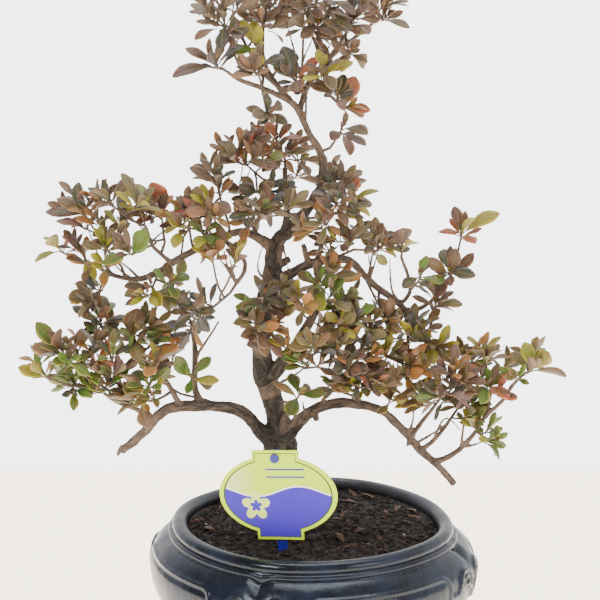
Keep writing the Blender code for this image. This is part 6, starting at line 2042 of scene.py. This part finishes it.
# The label's edges and its printed design, from the middle of its plate
PLATE_EDGE, STAKE_EDGE, BUTTON_EDGE, PEG_EDGE = 0.25 * MM, 0.3 * MM, 0.35 * MM, 0.1 * MM
STAKE_POINT, STAKE_POINT_HALF = 9 * MM, 0.6 * MM
PICTURE_REACH, PICTURE_INSET = 0.90, 2.2 * MM
LINE_REACH, LINE_INSET = 0.925, 1.7 * MM
WAVE_TURNS, WAVE_HEIGHT, WAVE_MIDDLE = 110.0, 3.4 * MM, 2.0 * MM
FLOWER_PLACE = (-15 * MM, -7 * MM)
PETAL_REACH, EYE_REACH = 9.8 * MM, 4.0 * MM
TEXT_HEIGHTS = (17 * MM, 12 * MM)
TEXT_MIDDLE, TEXT_HALF, TEXT_HALF_THICK = 6 * MM, 13 * MM, 0.5 * MM


def plate_outline():
    """An upright oval plate with a square tab above and below, clockwise from the top tab's right corner."""
    edge = math.acos(TAB_HALF_WIDTH / PLATE_HALF_WIDTH)
    right = []
    for i in range(PLATE_STEPS + 1):
        turn = edge - 2 * edge * i / PLATE_STEPS
        right.append((PLATE_HALF_WIDTH * math.cos(turn), PLATE_HALF_HEIGHT * math.sin(turn)))
    half = [(TAB_HALF_WIDTH, TAB_REACH)] + right + [(TAB_HALF_WIDTH, -TAB_REACH)]
    return half + [(-x, -z) for x, z in half]


def label_turn():
    """The label's own axes: across it, into the picture and up it, from the middle of its plate."""
    turn = Matrix.Rotation(LABEL_YAW, 4, "Z") @ Matrix.Rotation(LABEL_LEAN, 4, "Y")
    return Matrix.Translation(PLANT_CENTRE + seen(*PLATE_SEEN)) @ turn


def cut_sheet(name, outlines, thickness, edge):
    """A flat sheet cut to outlines, the later ones being holes, with slightly rounded edges."""
    curve = bpy.data.curves.new(name, "CURVE")
    curve.dimensions = "2D"
    curve.fill_mode = "BOTH"
    curve.extrude = thickness / 2 - edge
    curve.bevel_depth = edge
    curve.bevel_resolution = 2
    curve.offset = -edge
    for outline in outlines:
        spline = curve.splines.new("POLY")
        spline.points.add(len(outline) - 1)
        for knot, (x, z) in zip(spline.points, outline):
            knot.co = (x, z, 0, 1)
        spline.use_cyclic_u = True
    guide = bpy.data.objects.new(name + "_guide", curve)
    bpy.context.scene.collection.objects.link(guide)
    depsgraph = bpy.context.evaluated_depsgraph_get()
    mesh = bpy.data.meshes.new_from_object(guide.evaluated_get(depsgraph))
    bpy.data.objects.remove(guide, do_unlink=True)
    bpy.data.curves.remove(curve)
    shape = bmesh.new()
    shape.from_mesh(mesh)
    bmesh.ops.remove_doubles(shape, verts=shape.verts, dist=1e-6)
    bmesh.ops.recalc_face_normals(shape, faces=shape.faces)
    shape.to_mesh(mesh)
    shape.free()
    mesh.materials.clear()
    made = bpy.data.objects.new(name, mesh)
    bpy.context.scene.collection.objects.link(made)
    return made


def join(parts):
    """Everything in the first mesh."""
    shape = bmesh.new()
    for part in parts:
        shape.from_mesh(part.data)
    shape.to_mesh(parts[0].data)
    shape.free()
    for part in parts[1:]:
        bpy.data.objects.remove(part, do_unlink=True)


def circle(radius, middle, steps):
    turns = [2 * math.pi * i / steps for i in range(steps)]
    return [(radius * math.cos(turn), middle + radius * math.sin(turn)) for turn in turns]


def stand_up(piece, material, slot_name, node):
    """Turns a flat piece of the label upright, where the label stands."""
    piece.data.materials.append(material)
    piece.matrix_world = label_turn() @ Matrix.Rotation(math.pi / 2, 4, "X")
    settle(piece, slot_name, node)


def make_label():
    """The oval plate with a design of its own, and the stake whose button holds it."""
    peg_height = TAB_REACH - PEG_BELOW_TOP
    hole = circle(PEG_RADIUS + TOUCH_GAP, peg_height, 32)
    plate = cut_sheet("label_card", [plate_outline(), hole], PLATE_THICK, PLATE_EDGE)
    stand_up(plate, label_material(), "label_plastic", "label_plate")
    bottom = SOIL_EDGE_MM * MM - STAKE_IN_SOIL - seen(*PLATE_SEEN).z
    half = STAKE_WIDTH / 2
    blade = [(half, bottom + STAKE_POINT), (STAKE_POINT_HALF, bottom), (-STAKE_POINT_HALF, bottom),
             (-half, bottom + STAKE_POINT), (-half, TAB_REACH), (half, TAB_REACH)]
    front = PLATE_THICK / 2 + TOUCH_GAP
    back = front + STAKE_THICK / 2
    stake = cut_sheet("stake_blade", [blade], STAKE_THICK, STAKE_EDGE)
    stake.data.transform(Matrix.Translation((0, 0, -back)))
    button = cut_sheet("button", [circle(BUTTON_RADIUS, peg_height, 48)], BUTTON_THICK, BUTTON_EDGE)
    button.data.transform(Matrix.Translation((0, 0, front + BUTTON_THICK / 2)))
    peg = cut_sheet("peg", [circle(PEG_RADIUS, peg_height, 32)], back + front + BUTTON_THICK, PEG_EDGE)
    peg.data.transform(Matrix.Translation((0, 0, (front - back) / 2)))
    join([stake, button, peg])
    stand_up(stake, stake_material(), "stake_plastic", "label_stake")


def near_line(tree, value, middle, reach):
    """1 where a value lies within a reach of a middle."""
    away = sums(tree, "ABSOLUTE", sums(tree, "SUBTRACT", value, middle))
    return sums(tree, "LESS_THAN", away, reach)


def line_length(tree, first, second):
    """The length of a line whose run and rise are given."""
    total = sums(tree, "ADD", sums(tree, "MULTIPLY", first, first), sums(tree, "MULTIPLY", second, second))
    return sums(tree, "SQRT", total)


def within_plate(tree, x, y, reach, inset):
    """1 inside a line along the plate's outline: a share of its oval, and an inset from its tabs' edges."""
    wide = sums(tree, "DIVIDE", x, PLATE_HALF_WIDTH)
    tall = sums(tree, "DIVIDE", y, PLATE_HALF_HEIGHT)
    oval = sums(tree, "LESS_THAN", line_length(tree, wide, tall), reach)
    beside = near_line(tree, x, 0, TAB_HALF_WIDTH - inset)
    tabs = sums(tree, "MULTIPLY", beside, near_line(tree, y, 0, TAB_REACH - inset))
    return sums(tree, "MAXIMUM", oval, tabs)


def within_blossom(tree, x, y, radius):
    """1 inside a five-petalled flower."""
    across = sums(tree, "SUBTRACT", x, FLOWER_PLACE[0])
    up = sums(tree, "SUBTRACT", y, FLOWER_PLACE[1])
    turn = sums(tree, "ARCTAN2", up, across)
    petal = sums(tree, "ABSOLUTE", sums(tree, "SINE", sums(tree, "MULTIPLY_ADD", turn, 2.5, 0.8)))
    edge = sums(tree, "MULTIPLY_ADD", petal, radius * 0.5, radius * 0.5)
    return sums(tree, "LESS_THAN", line_length(tree, across, up), edge)


def label_design(tree, x, y):
    """A plain design in the colours of such labels: lime rim and upper half, violet lower half, a flower."""
    wave = sums(tree, "SINE", sums(tree, "MULTIPLY", x, WAVE_TURNS))
    over = sums(tree, "SUBTRACT", y, sums(tree, "MULTIPLY_ADD", wave, WAVE_HEIGHT, WAVE_MIDDLE))
    inner = tint(tree, linear("dfe89c"), "c8ea00", x, -36 * MM, -10 * MM)
    inner = tint(tree, inner, "f2f6ea", over, 1.2 * MM, 1.0 * MM)
    inner = tint(tree, inner, "3e26b4", over, 0.2 * MM, -0.2 * MM)
    inner = blend_colours(tree, within_blossom(tree, x, y, PETAL_REACH), inner, linear("dcec70"))
    inner = blend_colours(tree, within_blossom(tree, x, y, EYE_REACH), inner, linear("3c30b4"))
    for height in TEXT_HEIGHTS:
        on_line = near_line(tree, y, height, TEXT_HALF_THICK)
        span = near_line(tree, x, TEXT_MIDDLE, TEXT_HALF)
        inner = blend_colours(tree, sums(tree, "MULTIPLY", on_line, span), inner, linear("2c1e9c"))
    line = within_plate(tree, x, y, LINE_REACH, LINE_INSET)
    rim = blend_colours(tree, line, linear("c6ea00"), linear("3a4620"))
    return blend_colours(tree, within_plate(tree, x, y, PICTURE_REACH, PICTURE_INSET), rim, inner)


def label_material():
    """Printed plastic, slightly dusty."""
    material, tree, shader = new_material("label_print", 0.5, Specular_IOR_Level=0.25)
    place = object_place(tree)
    parts = put(tree, "SeparateXYZ", {0: place}).outputs
    grey_dulling = grain(tree, place, 240, 4, 0.7)
    colour = tint(tree, label_design(tree, parts[0], parts[1]), "8a7c6a", grey_dulling, 0.56, 0.80, 0, 0.12)
    wire(tree, colour, shader, "Base Color")
    wire(tree, ramp(tree, grey_dulling, 0.4, 0.75, 0.42, 0.6), shader, "Roughness")
    return material


def stake_material():
    """Blue plastic, slightly worn."""
    material, tree, shader = new_material("blue_plastic", 0.35)
    haze = grain(tree, object_place(tree), 320, 4, 0.7)
    wire(tree, tint(tree, linear("14187c"), "2826a0", haze, 0.35, 0.75), shader, "Base Color")
    wire(tree, ramp(tree, haze, 0.3, 0.7, 0.28, 0.5), shader, "Roughness")
    return material


# The stage
TABLE_BACK, TABLE_FRONT, TABLE_SIDE = 0.375, -4.0, 4.0
TABLE_COLOUR = "f5e9d8"
TABLE_PALER = 0.97
TABLE_GLOW = 3.8
WALL_COLOUR = "ededed"
WALL_STRENGTH = 5.6
ROOM_STRENGTH = 1.0
MIRRORED_FRONT, MIRRORED_BACK = 0.35, 2.4
# Each light's name, place, power in watts and size
LIGHTS = [
    ("key", (-1.0, -1.4, 1.6), 22, 0.6),
    ("fill", (1.3, -1.2, 1.0), 12, 0.6),
    ("top", (0.1, 0.1, 1.9), 25, 1.0),
]
LIT_PLACE = Vector((0, 0, 0.2))


def table_material():
    """A plain cream top that glows a little, so that it stays pale."""
    colour = linear(TABLE_COLOUR)
    material, tree, shader = new_material("cream_table", 0.9, Emission_Color=(*colour, 1),
                                          Emission_Strength=TABLE_GLOW)
    paler = tuple(channel * TABLE_PALER for channel in colour)
    cloud = grain(tree, object_place(tree), 3, 3)
    wire(tree, blend_colours(tree, cloud, colour, paler), shader, "Base Color")
    return material


def make_stage():
    """A pale table that ends behind the pot, a pale surround, and soft lights."""
    corners = [(-TABLE_SIDE, TABLE_FRONT, 0), (TABLE_SIDE, TABLE_FRONT, 0),
               (TABLE_SIDE, TABLE_BACK, 0), (-TABLE_SIDE, TABLE_BACK, 0)]
    link_mesh("table", corners, [(0, 1, 2, 3)], [table_material()])
    make_surround()
    for name, place, power, size in LIGHTS:
        lamp = bpy.data.lights.new(name, "AREA")
        lamp.energy = power
        lamp.size = size
        made = bpy.data.objects.new(name, lamp)
        bpy.context.scene.collection.objects.link(made)
        made.location = place
        made.rotation_euler = (LIT_PLACE - made.location).to_track_quat("-Z", "Y").to_euler()


def make_surround():
    """A pale wall all round that lights the room less than it shows.  Mirrored, its left front is dim."""
    world = bpy.data.worlds.new("surround")
    bpy.context.scene.world = world
    world.use_nodes = True
    tree = world.node_tree
    pale = (*linear(WALL_COLOUR), 1)
    way = put(tree, "SeparateXYZ", {0: put(tree, "TexCoord").outputs["Generated"]}).outputs
    side = sums(tree, "MULTIPLY_ADD", way["X"], 0.45, way["Y"])
    strength = ramp(tree, side, -0.4, 0.9, MIRRORED_FRONT, MIRRORED_BACK)
    room = tree.nodes["Background"]
    room.inputs["Color"].default_value = pale
    room.inputs["Strength"].default_value = ROOM_STRENGTH
    wall = put(tree, "Background", {"Color": pale, "Strength": WALL_STRENGTH}).outputs[0]
    mirrored = put(tree, "Background", {"Color": pale, "Strength": strength}).outputs[0]
    path = put(tree, "LightPath").outputs
    unseen = put(tree, "MixShader", {0: path["Is Glossy Ray"], 1: room.outputs[0], 2: mirrored}).outputs[0]
    both = put(tree, "MixShader", {0: path["Is Camera Ray"], 1: unseen, 2: wall}).outputs[0]
    tree.links.new(both, tree.nodes["World Output"].inputs["Surface"])


def make_camera():
    """A camera at the photo's viewing angle."""
    eye = bpy.data.cameras.new("camera")
    eye.sensor_width = SENSOR
    eye.lens = VIEW_FOCAL / PICTURE_SIZE * SENSOR
    eye.clip_start = 0.05
    eye.clip_end = 60
    camera = bpy.data.objects.new("camera", eye)
    bpy.context.scene.collection.objects.link(camera)
    camera.location = PLANT_CENTRE + VIEW_EYE
    camera.rotation_euler = (math.pi / 2 - VIEW_PITCH, 0, 0)
    bpy.context.scene.camera = camera


def dress_tree():
    """The wood, and a leafy piece for each spray."""
    slots = {part["node"]: part["material_slot"] for part in frame["record"]["subparts"]}
    routes, sprays = set_out_tree()
    make_wood()
    finish_foliage(routes, sprays)
    make_foliage(sprays, slots)


make_pot()
make_soil()
make_litter()
make_dead_leaves()
dress_tree()
make_label()
make_stage()
make_camera()
